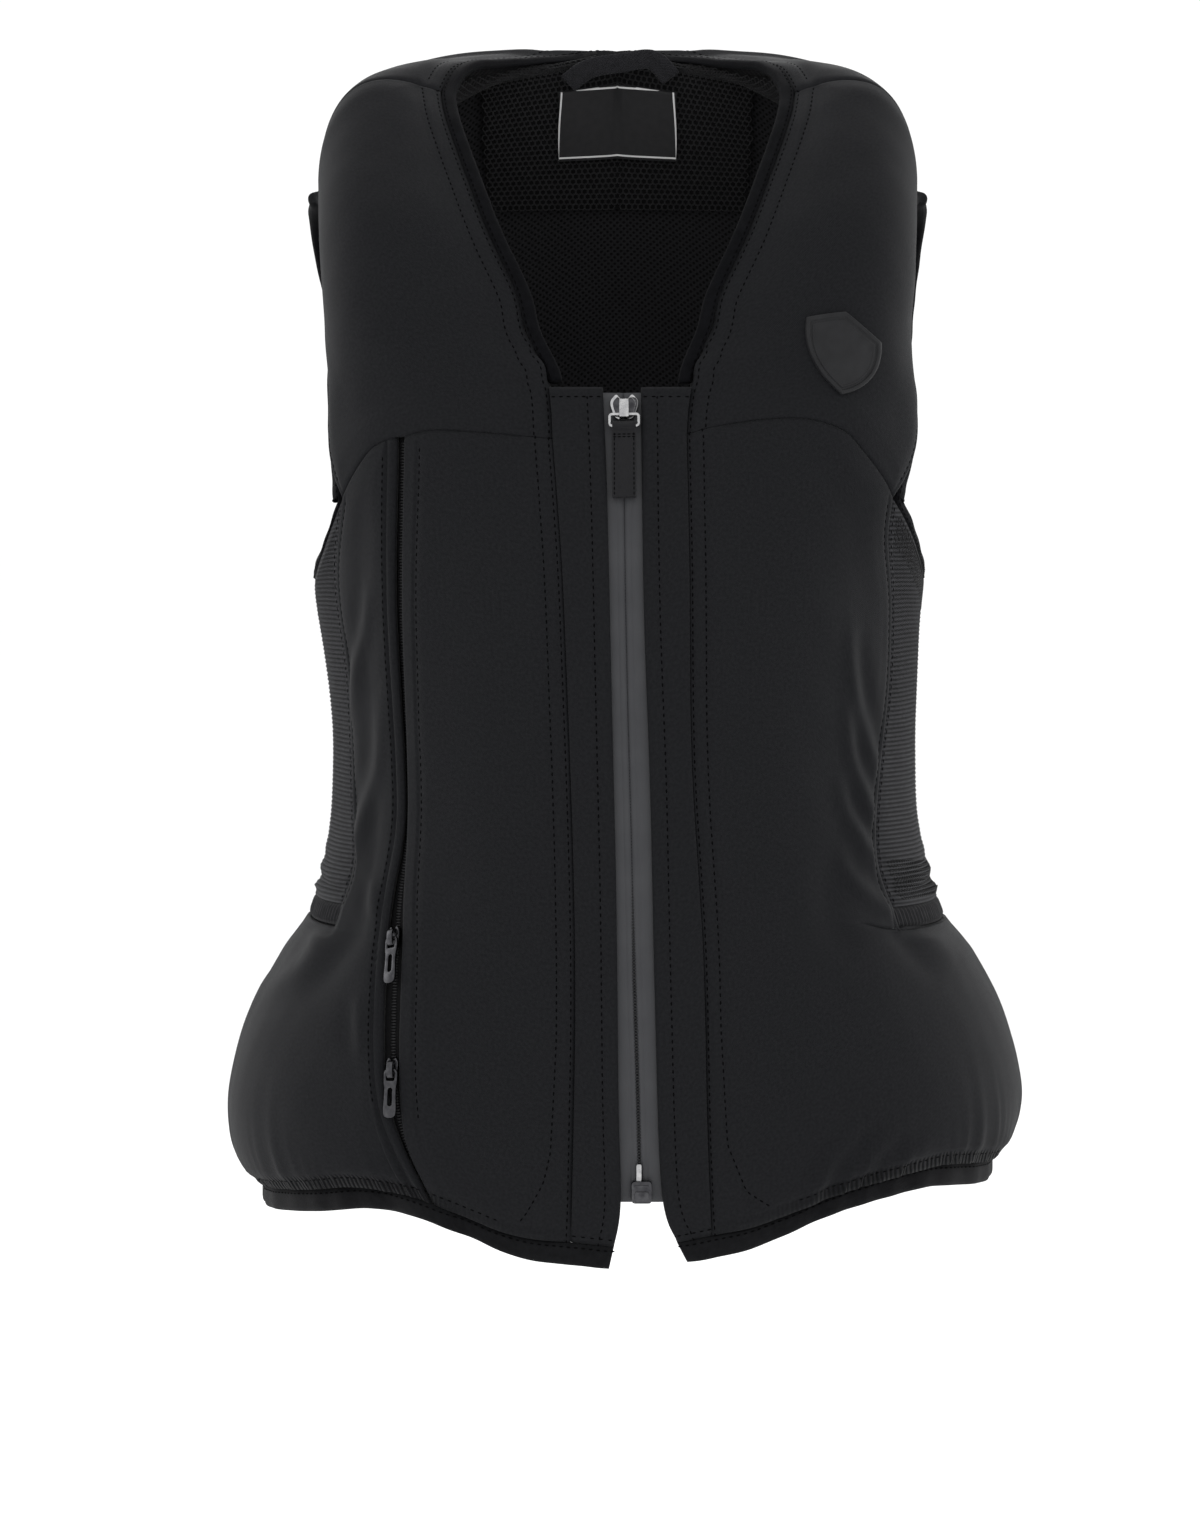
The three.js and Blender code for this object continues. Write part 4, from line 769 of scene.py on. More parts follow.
# soft folds of the front, as crest lines in the front view with half width and height
foldLines = [
    ([(102, -200), (102.5, -224), (108, -250), (112, -264), (114, -280)], 3.2, 2.2),
    ([(99.5, -232), (101, -254), (104, -267), (109, -281), (114, -295), (117, -308)], 3.2, 2.2),
    ([(96.5, -266), (99, -282), (105, -295), (112, -306), (119, -318)], 3.4, 2.0),
    ([(96, -298), (100, -311), (109, -322), (121, -330)], 3.6, 1.7),
    ([(119, -317), (121, -328), (134, -339), (153, -354)], 5.0, 2.2),
    ([(93, -300), (92, -330), (104, -352)], 8.0, -1.6),
    ([(116, -330), (128, -346), (146, -362)], 5.0, -1.8),
    ([(78, -463), (92, -437), (104, -423)], 4.0, 1.3),
    ([(92, -459), (108, -437), (123, -425)], 4.2, 1.5),
    ([(108, -456), (124, -438), (140, -430)], 4.2, 1.3),
    ([(-113.5, -184), (-115, -203), (-118.3, -221), (-121, -240), (-122, -250)], 3.2, 2.0),
    ([(-108, -236), (-109, -258), (-111, -272), (-116, -289), (-125, -318), (-130, -331), (-142, -349)],
     3.6, 2.6),
    ([(-111, -314), (-111, -333)], 3.0, 1.4),
    ([(-117, -366), (-117, -394)], 3.2, 1.4),
    ([(-125, -321), (-138, -349), (-154, -364), (-169, -375)], 5.0, 2.2),
    ([(-118, -336), (-128, -352), (-146, -372)], 5.0, -1.8),
]


def foldHeight(p):  # a ridge with its valley on the side away from the zip
    total = np.zeros(p.shape[:2])
    here = p[..., [0, 2]]
    for points, width, height in foldLines:
        line = spline(points, np.linspace(0, 1, 24))
        run = lengths(line) / lengths(line)[-1]
        best = np.full(p.shape[:2], 1e9)
        share, aside = np.zeros(p.shape[:2]), np.zeros(p.shape[:2])
        for k in range(len(line) - 1):
            step = line[k + 1] - line[k]
            to = here - line[k]
            f = np.clip((to @ step) / (step @ step), 0, 1)
            gap = np.linalg.norm(to - f[..., None] * step, axis=-1)
            near = gap < best
            best = np.where(near, gap, best)
            share = np.where(near, run[k] + f * (run[k + 1] - run[k]), share)
            beyond = (step[0] * to[..., 1] - step[1] * to[..., 0]) * points[0][0]
            aside = np.where(near, np.sign(beyond), aside)
        valley = np.exp(-((best / width - 1.7) ** 2)) * (aside > 0)
        ridge = bell(best, width)
        total += height * np.sin(math.pi * np.clip(share, 0.02, 0.98)) ** 0.7 * (ridge - 0.55 * valley)
    return total


gathers = {"pitch": 8.5, "depth": 0.75, "reach": 21.0, "casing": 4.8}


def gatherHeight(run, away, share):
    phase = run / gathers["pitch"] + 0.45 * np.sin(run / 17.0) + 0.3 * np.sin(run / 7.3 + 1.3)
    reach = gathers["reach"] * (1 + 0.45 * np.sin(run / 11.3 + 0.6))
    pleat = np.sin(2 * math.pi * phase) + 0.35 * np.sin(4 * math.pi * phase + 0.8)
    return gathers["depth"] * share * pleat * bell(away, reach)


def seamSink(d, dip=0.9, rise=12.0, roll=0.65, rows=(), groove=0.35):
    depth = dip * (1 - smooth(d, 0, rise)) + roll * bell(d, 0.7)
    for row in rows:
        depth = depth + groove * bell(d - row, 0.9)
    return depth


# padded panels swell between their seams in a short cloth run on a coarse copy
puffing = {"frames": 20, "sink": 2.6, "cap": 2.0, "step": 7.5}
clothSettings = {"quality": 5, "mass": 0.2, "tension_stiffness": 18, "compression_stiffness": 12,
                 "shear_stiffness": 6, "bending_stiffness": 3.0, "shrink_min": 0.0, "use_pressure": True,
                 "uniform_pressure_force": 4.0, "vertex_group_mass": "held"}


def swell(name, starts, inners, joinedRows=0):
    rows, cols = starts[0].shape[:2]
    indices = halfIndex(len(starts), rows, cols, joinedRows)
    verts, faces, held = [], [], []
    for start, inner, index in zip(starts, inners, indices):
        both = bothFaces(start, inner)
        mine, _ = wallFaces(rows, cols, joinedRows)
        faces.append(index.ravel()[facedOut(both, mine)])
        edge = np.zeros((rows, cols), bool)
        edge[0] = edge[-1] = edge[:, -1] = edge[:, 0] = True
        edge[1:joinedRows, 0] = False
        held.append(np.concatenate([index[0][edge], index[1].ravel()]))
        verts.append(both)
    mesh = bpy.data.meshes.new(name)
    mesh.from_pydata((np.vstack(verts) * mm).tolist(), [], np.vstack(faces).tolist())
    obj = linked(name, mesh)
    obj.vertex_groups.new(name="held").add(np.unique(np.concatenate(held)).tolist(), 1.0, "REPLACE")
    cloth = obj.modifiers.new("cloth", "CLOTH")
    for key, value in clothSettings.items():
        setattr(cloth.settings, key, value)
    cloth.settings.effector_weights.gravity = 0
    cloth.collision_settings.use_collision = False
    cloth.point_cache.frame_start = 1
    cloth.point_cache.frame_end = puffing["frames"]
    for step in range(1, puffing["frames"] + 1):
        scene.frame_set(step)
    done = obj.evaluated_get(bpy.context.evaluated_depsgraph_get()).data
    found = np.empty(len(done.vertices) * 3, np.float32)
    done.vertices.foreach_get("co", found)
    found = found.reshape(-1, 3) / mm
    result = [found[index[0]] for index in indices]
    bpy.data.objects.remove(obj)
    bpy.data.meshes.remove(mesh)
    scene.frame_set(1)
    return result


def resampled(grid, coarse, fine):  # smooth values of a coarse grid at the fine grid's shares
    rows, cols = grid.shape[:2]
    vAt = np.interp(fine["v"], coarse["v"], np.arange(rows))
    uAt = np.interp(fine["u"], coarse["u"], np.arange(cols))
    tall = between(grid.reshape(rows, -1), vAt).reshape(len(vAt), cols, 3)
    wide = between(tall.transpose(1, 0, 2).reshape(cols, -1), uAt)
    return wide.reshape(len(uAt), len(vAt), 3).transpose(1, 0, 2)


def evened(move, times=3):  # takes the small crumples out of a coarse move
    for _ in range(times):
        wide = np.pad(move, ((1, 1), (1, 1), (0, 0)), mode="edge")
        beside = wide[:-2, 1:-1] + wide[2:, 1:-1] + wide[1:-1, :-2] + wide[1:-1, 2:]
        move = move / 2 + beside / 8
    return move


def capped(move, most):
    size = np.linalg.norm(move, axis=-1, keepdims=True)
    return move * np.minimum(1, most / np.maximum(size, 1e-6))


def shaped(spec, panel):  # outer skin and lining of a padded panel, both as depths below the shell
    base, toBody, away = panel["base"], panel["toBody"], panel["away"]
    skin = np.maximum.reduce([f(away[e], base) for e, f in spec["profiles"].items()])
    clear = edgeGap(panel, spec["flat"]) if spec["flat"] else np.full(base.shape[:2], 1e3)
    rise = smooth(clear - sewing["selvage"], 0, sewing["rise"])
    puff = smooth(clear, 0, sewing["rise"])
    fold = foldHeight(base) * smooth(clear, 0, 6) if spec["folds"] else 0
    run = lengths(edgePoints(base, "bottom"))[None, :] + spec["runStart"]
    share = spec["gather"](base) if spec["gather"] else 0
    ripple = gatherHeight(run, away["bottom"], share)
    uneven = 0.5 * waver(base, 74.0, spec["seed"]) * puff + 0.22 * waver(base, 27.0, spec["seed"] + 2) * puff
    pad = padDepth(spec["rows"], *np.moveaxis(panel["places"], -1, 0))
    lining = sewing["depth"] + (pad - sewing["depth"]) * rise + ripple
    drawn = share * (1 - smooth(away["bottom"], gathers["casing"] - 0.3, gathers["casing"] + 2.2))
    return skin - fold + ripple - uneven, lining, drawn + np.zeros(base.shape[:2])


def sewPanels(specs, u, v, coarseU, coarseV, joinedShare=0.0):
    def laid(spec, us, vs):
        panel = layPanel(spec["edges"], lambda s, t: shell(spec["rows"], s, t), us, vs, joinedShare)
        panel["skin"], panel["lining"], panel["casing"] = shaped(spec, panel)
        panel["edge"] = edgeGap(panel)
        panel["outer"] = panel["base"] + panel["toBody"] * panel["skin"][..., None]
        return panel

    made = [laid(spec, u, v) for spec in specs]
    coarse = [laid(spec, coarseU, coarseV) for spec in specs]
    starts, backs = [], []
    for c in coarse:
        sunk = c["skin"] + puffing["sink"] * smooth(c["edge"], 5, 26)
        starts.append(c["base"] + c["toBody"] * sunk[..., None])
        backs.append(c["base"] + c["toBody"] * np.maximum(c["lining"], sunk + 2)[..., None])
    joinedRows = int((coarseV < joinedShare - 1e-9).sum())
    finals = swell(specs[0]["name"] + "Cloth", starts, backs, joinedRows)
    for c, panel, final in zip(coarse, made, finals):
        move = evened(capped(final - c["outer"], puffing["cap"])) * smooth(c["edge"], 1, 9)[..., None]
        held = smooth(panel["edge"], 1, 9)[..., None]
        panel["outer"] = panel["outer"] + resampled(move, c, panel) * held
    for panel in made:
        deep = np.maximum(panel["lining"], panel["skin"] + sewing["leastWall"])
        inner = panel["base"] + panel["toBody"] * deep[..., None]
        together = v < joinedShare - 1e-9
        for face, grid in (("outer", panel["outer"]), ("inner", inner)):
            panel[face] = trimmed(grid, allEdges)
            panel[face][together, 0] = grid[together, 0]
        panel["normals"] = outwardNormals(panel)
    return made


def linedAt(points, z):  # distance from a seam that changes with height
    heights, gaps = zip(*points)
    return np.interp(z, heights, gaps)


placketRows = {  # the second row of topstitching swings out above the hem
    "right": [(-474, 29), (-460, 20), (-446, 13), (-432, 10), (-382, 8.4), (-120, 8)],
    "left": [(-474, 38), (-462, 27), (-452, 16.6), (-430, 9), (-380, 7), (-120, 7.4)],
}
placketFirst = {"right": 2.0, "left": 1.4}
placketFade = (-474, -458)  # heights over which its seam goes flat at the hem
ribRow, armholeRow = 3.4, 2.4


def besidePlacket(name):
    def profile(d, p):
        second = linedAt(placketRows[name], p[..., 2])
        fade = smooth(p[..., 2], *placketFade)
        return fade * seamSink(d, rows=(placketFirst[name],)) + 0.45 * bell(d - second, 1.0)

    return profile


pocketWelt = {"groove": 7.5, "row": 8.7, "lip": 3.0, "outerGroove": 4.6, "outerRow": 6.1,
              "fade": (-440, -420)}


def besidePocket(d, p):
    welt = 0.5 * bell(d - pocketWelt["groove"], 0.6) * smooth(p[..., 2], *pocketWelt["fade"])
    return seamSink(d, dip=1.4, roll=1.2, rows=(pocketWelt["row"],)) + welt


def outerWelt(d, p):  # rolled outer lip of the pocket
    lip = (d / pocketWelt["lip"] - 1) ** 2 * (d < pocketWelt["lip"])
    crease = 1.1 * bell(d - pocketWelt["outerGroove"], 0.8)
    return seamSink(d, dip=1.0, rise=12.0, roll=0.6) + lip + crease


def plainSeam(d, p):
    return seamSink(d)


def ribSeam(d, p):
    return seamSink(d, rows=(ribRow,))


def hemCasing(d, p):
    tucked = 1.7 * smooth(np.abs(p[..., 0]), 48, 92) * (1 - smooth(d, 3.6, 9.5))
    return tucked + 0.5 * bell(d - gathers["casing"], 0.8) + 0.4 * bell(d, 1.0)


def sideGather(p):
    return 0.15 + 0.85 * smooth(np.abs(p[..., 0]), 62, 108)


neckBand = {"flat": 1.9, "rows": (1.8, 8.6), "crease": 10.8}


def besideNeck(d, p):
    depth = neckBand["flat"] * (1 - smooth(d, 7.0, 24.0))
    crease = 0.35 * bell(d - neckBand["crease"], 1.7)
    return depth + crease + seamSink(d, dip=0.0, roll=0.6, rows=neckBand["rows"], groove=0.4)


def besideArmhole(d, p):
    return seamSink(d, dip=0.9, rise=9.0, roll=0.7, rows=(armholeRow,))


def shoulderSeam(d, p):
    return seamSink(d, dip=1.3, rise=12.0, roll=1.1)


yokeSeams = {
    name: joined([(2, side["notchRun"]), (9, stretch(np.vstack([
        placeAt(side["notchRun"], 1.0), placesOn(side, side["seams"]["neck"]),
        [[0, t] for t in (12, 13, 14, 15, frontTop)]])))])
    for name, side in (("right", right), ("left", left))}


def yokeSpec(side, seed):
    arm = [side["ribUp"][-1], (0.93, 10), (1, 11.2), (1, 12.5), (1, 14), (1, frontTop)]
    return {
        "rows": side["front"], "flat": ["bottom"], "folds": False, "gather": None, "runStart": 0,
        "seed": seed,
        "edges": {"inner": yokeSeams[side["name"]], "outer": stretch(arm), "bottom": side["yokeRun"],
                  "top": straight((0, frontTop), (1, frontTop))},
        "profiles": {"inner": besideNeck, "outer": besideArmhole, "bottom": plainSeam, "top": shoulderSeam},
    }


frontSpec = {"folds": True, "gather": sideGather, "flat": ["inner", "outer", "top"]}
panelSpecs = {
    "front_right": {
        **frontSpec, "rows": right["front"], "runStart": 0, "seed": 1.3,
        "edges": {"inner": right["placketRun"], "outer": lipIn, "top": yokeNear,
                  "bottom": hemRun(right, rightSeams["hem"][1:4], right["placketFoot"], lipInEnds[0])},
        "profiles": {"inner": besidePlacket("right"), "outer": besidePocket, "top": plainSeam,
                     "bottom": hemCasing}},
    "side_front_right": {
        **frontSpec, "rows": right["front"], "runStart": 70, "seed": 2.9,
        "edges": {"inner": lipOut, "outer": right["edgeRun"], "top": yokeFar,
                  "bottom": hemRun(right, rightSeams["hem"][5:], lipOutEnds[0], (1, right["hemLevel"]))},
        "profiles": {"inner": outerWelt, "outer": ribSeam, "top": plainSeam, "bottom": hemCasing}},
    "front_left": {
        **frontSpec, "rows": left["front"], "runStart": 11, "seed": 4.1,
        "edges": {"inner": left["placketRun"], "outer": left["edgeRun"], "top": left["yokeRun"],
                  "bottom": hemRun(left, leftSeams["hem"][1:], left["placketFoot"], (1, left["hemLevel"]))},
        "profiles": {"inner": besidePlacket("left"), "outer": ribSeam, "top": plainSeam,
                     "bottom": hemCasing}},
    "yoke_right": yokeSpec(right, 5.3),
    "yoke_left": yokeSpec(left, 7.7),
}
for name, spec in panelSpecs.items():
    spec["name"] = name

panelWidths = {"front_right": 78.0, "side_front_right": 96.0, "front_left": 168.0, "yoke_right": 120.0,
               "yoke_left": 120.0}
yokeHeight = 185.0
panels = {}
for name, spec in panelSpecs.items():
    u = spaced(panelWidths[name], 1.9)
    coarseU = np.linspace(0, 1, max(int(panelWidths[name] / puffing["step"]), 8))
    if name.startswith("yoke"):
        v = spaced(yokeHeight, 1.9)
        coarseV = np.linspace(0, 1, int(yokeHeight / puffing["step"]))
    else:
        v = stepped(bodyMarks, 56, 20, 8, 104)
        coarseV = stepped(bodyMarks, 13, 6, 2, 27)
    panels[name] = sewPanels([spec], u, v, coarseU, coarseV)[0]
    piece = wallPiece(name, panels[name], finishes["shell"], finishes["lining"])
    setAttribute(piece.data, "casing", "FLOAT", outsideOnly(panels[name]["casing"]))
    hand(piece, "shell", name)
    print("padded panel", name, panels[name]["outer"].shape[:2])

# back panel: two halves that share the middle up to the neck
backForm = {"hem": 0.15, "neck": 14.0, "belowBand": bandLow - 0.6, "corner": bandLow - 0.1,
            "joined": backMarks[-2] / backMarks[-1], "width": 215.0}
backNeckRows = (1.1, 7.6)


def besideBackNeck(d, p):
    depth = 1.5 * (1 - smooth(d, 6.0, 15.0)) + 0.5 * bell(d - 9.0, 1.7)
    return depth + seamSink(d, dip=0.0, roll=0.6, rows=backNeckRows)


def backSpec(side, seed):
    top = side["ribUp"][-1][1]
    levels = [backForm["hem"], backForm["belowBand"], backForm["corner"], bandHigh, top, backForm["neck"],
              backTop]
    arm = [(backRib, top), (0.93, 10), (1, 11.2), (1, 13), (1, 15), (1, backTop)]
    hem = side["hemLevel"]

    def middle(v):
        t = np.interp(v * backMarks[-1], backMarks, levels)
        return np.column_stack([np.zeros(len(t)), t])

    return {
        "name": "back_panel", "rows": side["back"], "flat": [], "folds": False, "runStart": 30, "seed": seed,
        "gather": lambda p: 0.85,
        "edges": {
            "inner": middle,
            "outer": joined([
                (5, straight((1, hem), (1, bandLow))), (4, straight((1, bandLow), (backRib, bandLow))),
                (1, straight((backRib, bandLow), (backRib, bandHigh))),
                (8, straight((backRib, bandHigh), (backRib, top))), (10, stretch(arm))]),
            "bottom": stretch([(0, backForm["hem"]), (0.5, (backForm["hem"] + hem) / 2), (1, hem)]),
            "top": straight((0, backTop), (1, backTop))},
        "profiles": {"inner": besideBackNeck, "outer": ribSeam, "bottom": hemCasing, "top": shoulderSeam},
    }


backU = spaced(backForm["width"], 2.8, near=1.1)
backV = stepped(backMarks, 40, 18, 8, 70, 78, 40)
backHalves = sewPanels(
    [backSpec(right, 3.1), backSpec(left, 3.1)], backU, backV, np.linspace(0, 1, 26),
    stepped(backMarks, 9, 5, 2, 18, 20, 10), backForm["joined"])
backJoined = int((backV < backForm["joined"] - 1e-9).sum())


def weldedPiece(name, halves, joinedRows, mats):
    rows, cols = halves[0]["outer"].shape[:2]
    verts, faces, slots, uvs = [], [], [], []
    for half, index in zip(halves, halfIndex(len(halves), rows, cols, joinedRows)):
        both = bothFaces(half["outer"], half["inner"])
        mine, slot = wallFaces(rows, cols, joinedRows, 1)
        faces.append(index.ravel()[facedOut(both, mine)])
        slots.append(slot)
        verts.append(both)
        uvs.append(bothFaces(gridUv(half["outer"]), gridUv(half["inner"])))
    verts, faces = np.vstack(verts), np.vstack(faces)
    used = np.unique(faces)  # the second half's own middle points aren't needed
    place = np.zeros(len(verts), int)
    place[used] = np.arange(len(used))
    return addPiece(name, verts[used], place[faces], mats, np.vstack(uvs)[used], np.concatenate(slots)), used


def meetInMiddle(halves, rows):
    for face in ("outer", "inner"):
        meeting = (halves[0][face][:rows, 0] + halves[1][face][:rows, 0]) / 2
        for half in halves:
            half[face][:rows, 0] = meeting


meetInMiddle(backHalves, backJoined + 1)
back, backKept = weldedPiece("back_panel", backHalves, backJoined, [finishes["shell"], finishes["lining"]])
drawnIn = np.concatenate([outsideOnly(half["casing"]) for half in backHalves])
setAttribute(back.data, "casing", "FLOAT", drawnIn[backKept])
hand(back, "shell", "back_panel")
print("padded panel back_panel", len(back.data.polygons), "faces")


# flat cloth: plackets, zip tapes, stretch sides and side bands
def onFront(side):
    return lambda s, t: shell(side["front"], s, t)


def thinPanel(edges, at, u, v, depth, thickness, profile=None):
    panel = layPanel(edges, at, u, v)
    lay = depth + (profile(panel) if profile else 0) + np.zeros(panel["base"].shape[:2])
    panel["outer"] = trimmed(panel["base"] + panel["toBody"] * lay[..., None], allEdges)
    panel["inner"] = trimmed(panel["base"] + panel["toBody"] * (lay + thickness)[..., None], allEdges)
    panel["normals"] = outwardNormals(panel)
    return panel


def flatSize(panel):
    grid = panel["outer"]
    across = np.linalg.norm(np.diff(grid, axis=1), axis=-1).sum(1).max()
    up = np.linalg.norm(np.diff(grid, axis=0), axis=-1).sum(0).max()
    a, b = grid[1:, 1:] - grid[:-1, :-1], grid[1:, :-1] - grid[:-1, 1:]
    area = np.linalg.norm(np.cross(a, b), axis=-1).sum() / 2
    across, up = max(across, 10.0), max(up, 10.0)  # no less than 10 mm each way; the least size
    return (across * mm, up * mm), min(area, across * up) * mm * mm


def layCloth(name, panel, finish, slot):
    piece = hand(wallPiece(name, panel, finish, finish), slot, name)
    return piece


placket = {"thickness": 2.6, "row": 7.0, "topRow": 4.6, "hemRow": 3.0}


def placketProfile(panel):
    away = panel["away"]
    fold = 0.9 * bell(away["inner"], 1.0) + 0.5 * bell(away["outer"], 0.8)
    rows = 0.4 * bell(away["inner"] - placket["row"], 0.9)
    rows += 0.4 * bell(away["top"] - placket["topRow"], 0.9)
    ends = 0.7 * bell(away["top"], 1.0) + 0.4 * bell(away["bottom"], 1.2)
    return fold + np.maximum(rows, ends) - 0.18 * waver(panel["base"], 46.0, 1.9)


for side in (right, left):
    zipLine = side["seams"]["zipEdge"][::-1]
    zipShares = [0, 0.27 * notchShare, 0.335 * notchShare, 0.385 * notchShare, notchShare, 1]
    zipSteps = np.array([0, 5, 9, 10, 18, 20]) / 20

    def zipRun(v, side=side, zipLine=zipLine):
        return seam(side, zipLine, np.interp(v, zipSteps, zipShares))

    head = placeAt(side["notchRun"], 1.0)
    ends = endsOf(zipRun)
    name = "placket_" + side["name"]
    edges = {"inner": zipRun, "outer": joined([(18, side["placketRun"]), (2, side["notchRun"])]),
             "bottom": straight(ends[0], side["placketFoot"]), "top": straight(ends[1], head)}
    steps = np.concatenate([stepped(bodyMarks, 56, 20, 8, 104) * 0.9, np.linspace(0.9, 1, 16)[1:]])
    panels[name] = thinPanel(edges, onFront(side), spaced(22.0, 1.2, reach=4.0), steps, 0.0,
                             placket["thickness"], placketProfile)
    layCloth(name, panels[name], finishes["shell"], "shell")

zipCut = {"top": -99.0, "bottom": -454.0, "depth": 3.2, "thickness": 1.2, "tuck": 3.0, "lip": 0.7,
          "parting": (-370, -330)}


def zipMiddle(z):
    def xAt(side):
        rows = side["front"]
        t = bisect(lambda level: shell(rows, np.zeros(z.shape), level)[..., 2] < z,
                   np.zeros(z.shape), np.full(z.shape, frontTop))
        return shell(rows, np.zeros(z.shape), t)[..., 0]

    return (xAt(right) + xAt(left)) / 2


def tapeProfile(panel):  # the middle edge rolls under, more so low down where the coil shows
    away, z = panel["away"]["inner"], panel["base"][..., 2]
    roll = zipCut["lip"] * bell(away, 0.8) * (1 + 0.6 * (1 - smooth(z, *zipCut["parting"])))
    return roll + 0.25 * bell(away - 3.4, 0.6)


for side in (right, left):
    edgeCurve = splineAt(side["seams"]["zipEdge"], np.linspace(0, 1, 400))[::-1]

    def tapeInner(v, side=side):
        z = zipCut["bottom"] + (zipCut["top"] - zipCut["bottom"]) * v
        return findFront(side, side["sign"] * zipMiddle(z), z)

    def tapeOuter(v, side=side, edgeCurve=edgeCurve):
        z = zipCut["bottom"] + (zipCut["top"] - zipCut["bottom"]) * v
        return findFront(side, np.interp(z, edgeCurve[:, 1], edgeCurve[:, 0]) + zipCut["tuck"], z)

    inEnds, outEnds = endsOf(tapeInner), endsOf(tapeOuter)
    name = "zip_tape_" + side["name"]
    panels[name] = thinPanel(
        {"inner": tapeInner, "outer": tapeOuter, "bottom": straight(inEnds[0], outEnds[0]),
         "top": straight(inEnds[1], outEnds[1])},
        onFront(side), spaced(14.0, 0.9, near=0.4, reach=4.2), np.linspace(0, 1, 150), zipCut["depth"],
        zipCut["thickness"], tapeProfile)
    layCloth(name, panels[name], finishes["tape"], "zip_tape")
print("plackets and zip tapes laid")


def geometryTree(name, sizes):
    tree = bpy.data.node_groups.new(name, "GeometryNodeTree")
    tree.interface.new_socket("Geometry", in_out="INPUT", socket_type="NodeSocketGeometry")
    for label in sizes:
        tree.interface.new_socket(label, in_out="INPUT", socket_type="NodeSocketFloat")
    tree.interface.new_socket("Finish", in_out="INPUT", socket_type="NodeSocketMaterial")
    tree.interface.new_socket("Geometry", in_out="OUTPUT", socket_type="NodeSocketGeometry")
    return tree, tree.nodes.new("NodeGroupInput").outputs


def closeTree(tree, given, made):
    finished = addNode(tree, "GeometryNodeSetMaterial", {"Geometry": made, "Material": given["Finish"]})
    tree.links.new(finished.outputs["Geometry"], tree.nodes.new("NodeGroupOutput").inputs["Geometry"])


def named(tree, name, kind="FLOAT_VECTOR"):
    node = addNode(tree, "GeometryNodeInputNamedAttribute", {"Name": name}, data_type=kind)
    return node.outputs["Attribute"]


def grown(obj, tree, values):  # runs the tree and keeps its result as a plain mesh
    grow = obj.modifiers.new(tree.name, "NODES")
    grow.node_group = tree
    for item in tree.interface.items_tree:
        if item.in_out == "INPUT" and item.name in values:
            grow[item.identifier] = values[item.name]
    bpy.context.view_layer.update()
    made = bpy.data.meshes.new_from_object(obj.evaluated_get(bpy.context.evaluated_depsgraph_get()))
    obj.modifiers.remove(grow)
    old = obj.data
    obj.data = made
    made.name = obj.name
    bpy.data.meshes.remove(old)
    return obj


# ribs of the knit: every point moves along "outward" by a wave of its height on the panel
ribTree, given = geometryTree("ribKnit", ["Pitch", "Depth"])
turns = calc(ribTree, "DIVIDE", named(ribTree, "ribRun", "FLOAT"), given["Pitch"])
wave = calc(ribTree, "SINE", calc(ribTree, "MULTIPLY", turns, 2 * math.pi))
shared = calc(ribTree, "MULTIPLY", wave, named(ribTree, "ribShare", "FLOAT"))
height = calc(ribTree, "MULTIPLY", shared, given["Depth"])
offset = addNode(ribTree, "ShaderNodeVectorMath", {0: named(ribTree, "outward"), "Scale": height},
                 operation="SCALE")
moved = addNode(ribTree, "GeometryNodeSetPosition",
                {"Geometry": given["Geometry"], "Offset": offset.outputs["Vector"]})
closeTree(ribTree, given, moved.outputs["Geometry"])

ribKnit = {"depth": 1.6, "thickness": 2.2, "wave": 0.42, "border": 4.0, "crumple": 1.1, "row": 2.2}
sideBand = {"depth": 1.5, "thickness": 2.8, "clear": 0.03, "pleat": 3.4, "pleatDepth": 0.45}
armpit = [(0.82, 8.35), (1, 8.08)]


def wrapped(side):  # s runs on past 1 round to the back
    def at(s, t):
        front, rear = shell(side["front"], s, t), shell(side["back"], 2 - s, t)
        return np.where((s <= 1)[..., None], front, rear)

    return at


def ribProfile(panel):
    low, p = panel["away"]["bottom"], panel["base"]
    crush = np.sin(low / 1.55 + 1.2 * np.sin(p[..., 1] / 13.0)) * bell(low, 17.0)
    border = edgeGap(panel, ("inner", "outer", "top"))
    crushed = -ribKnit["crumple"] * crush * smooth(low, 0, 4) * smooth(border, 0, 6)
    return crushed + 0.4 * bell(border, 1.0) - 0.5 * waver(p, 52.0, 6.1) * smooth(border, 0, 10)


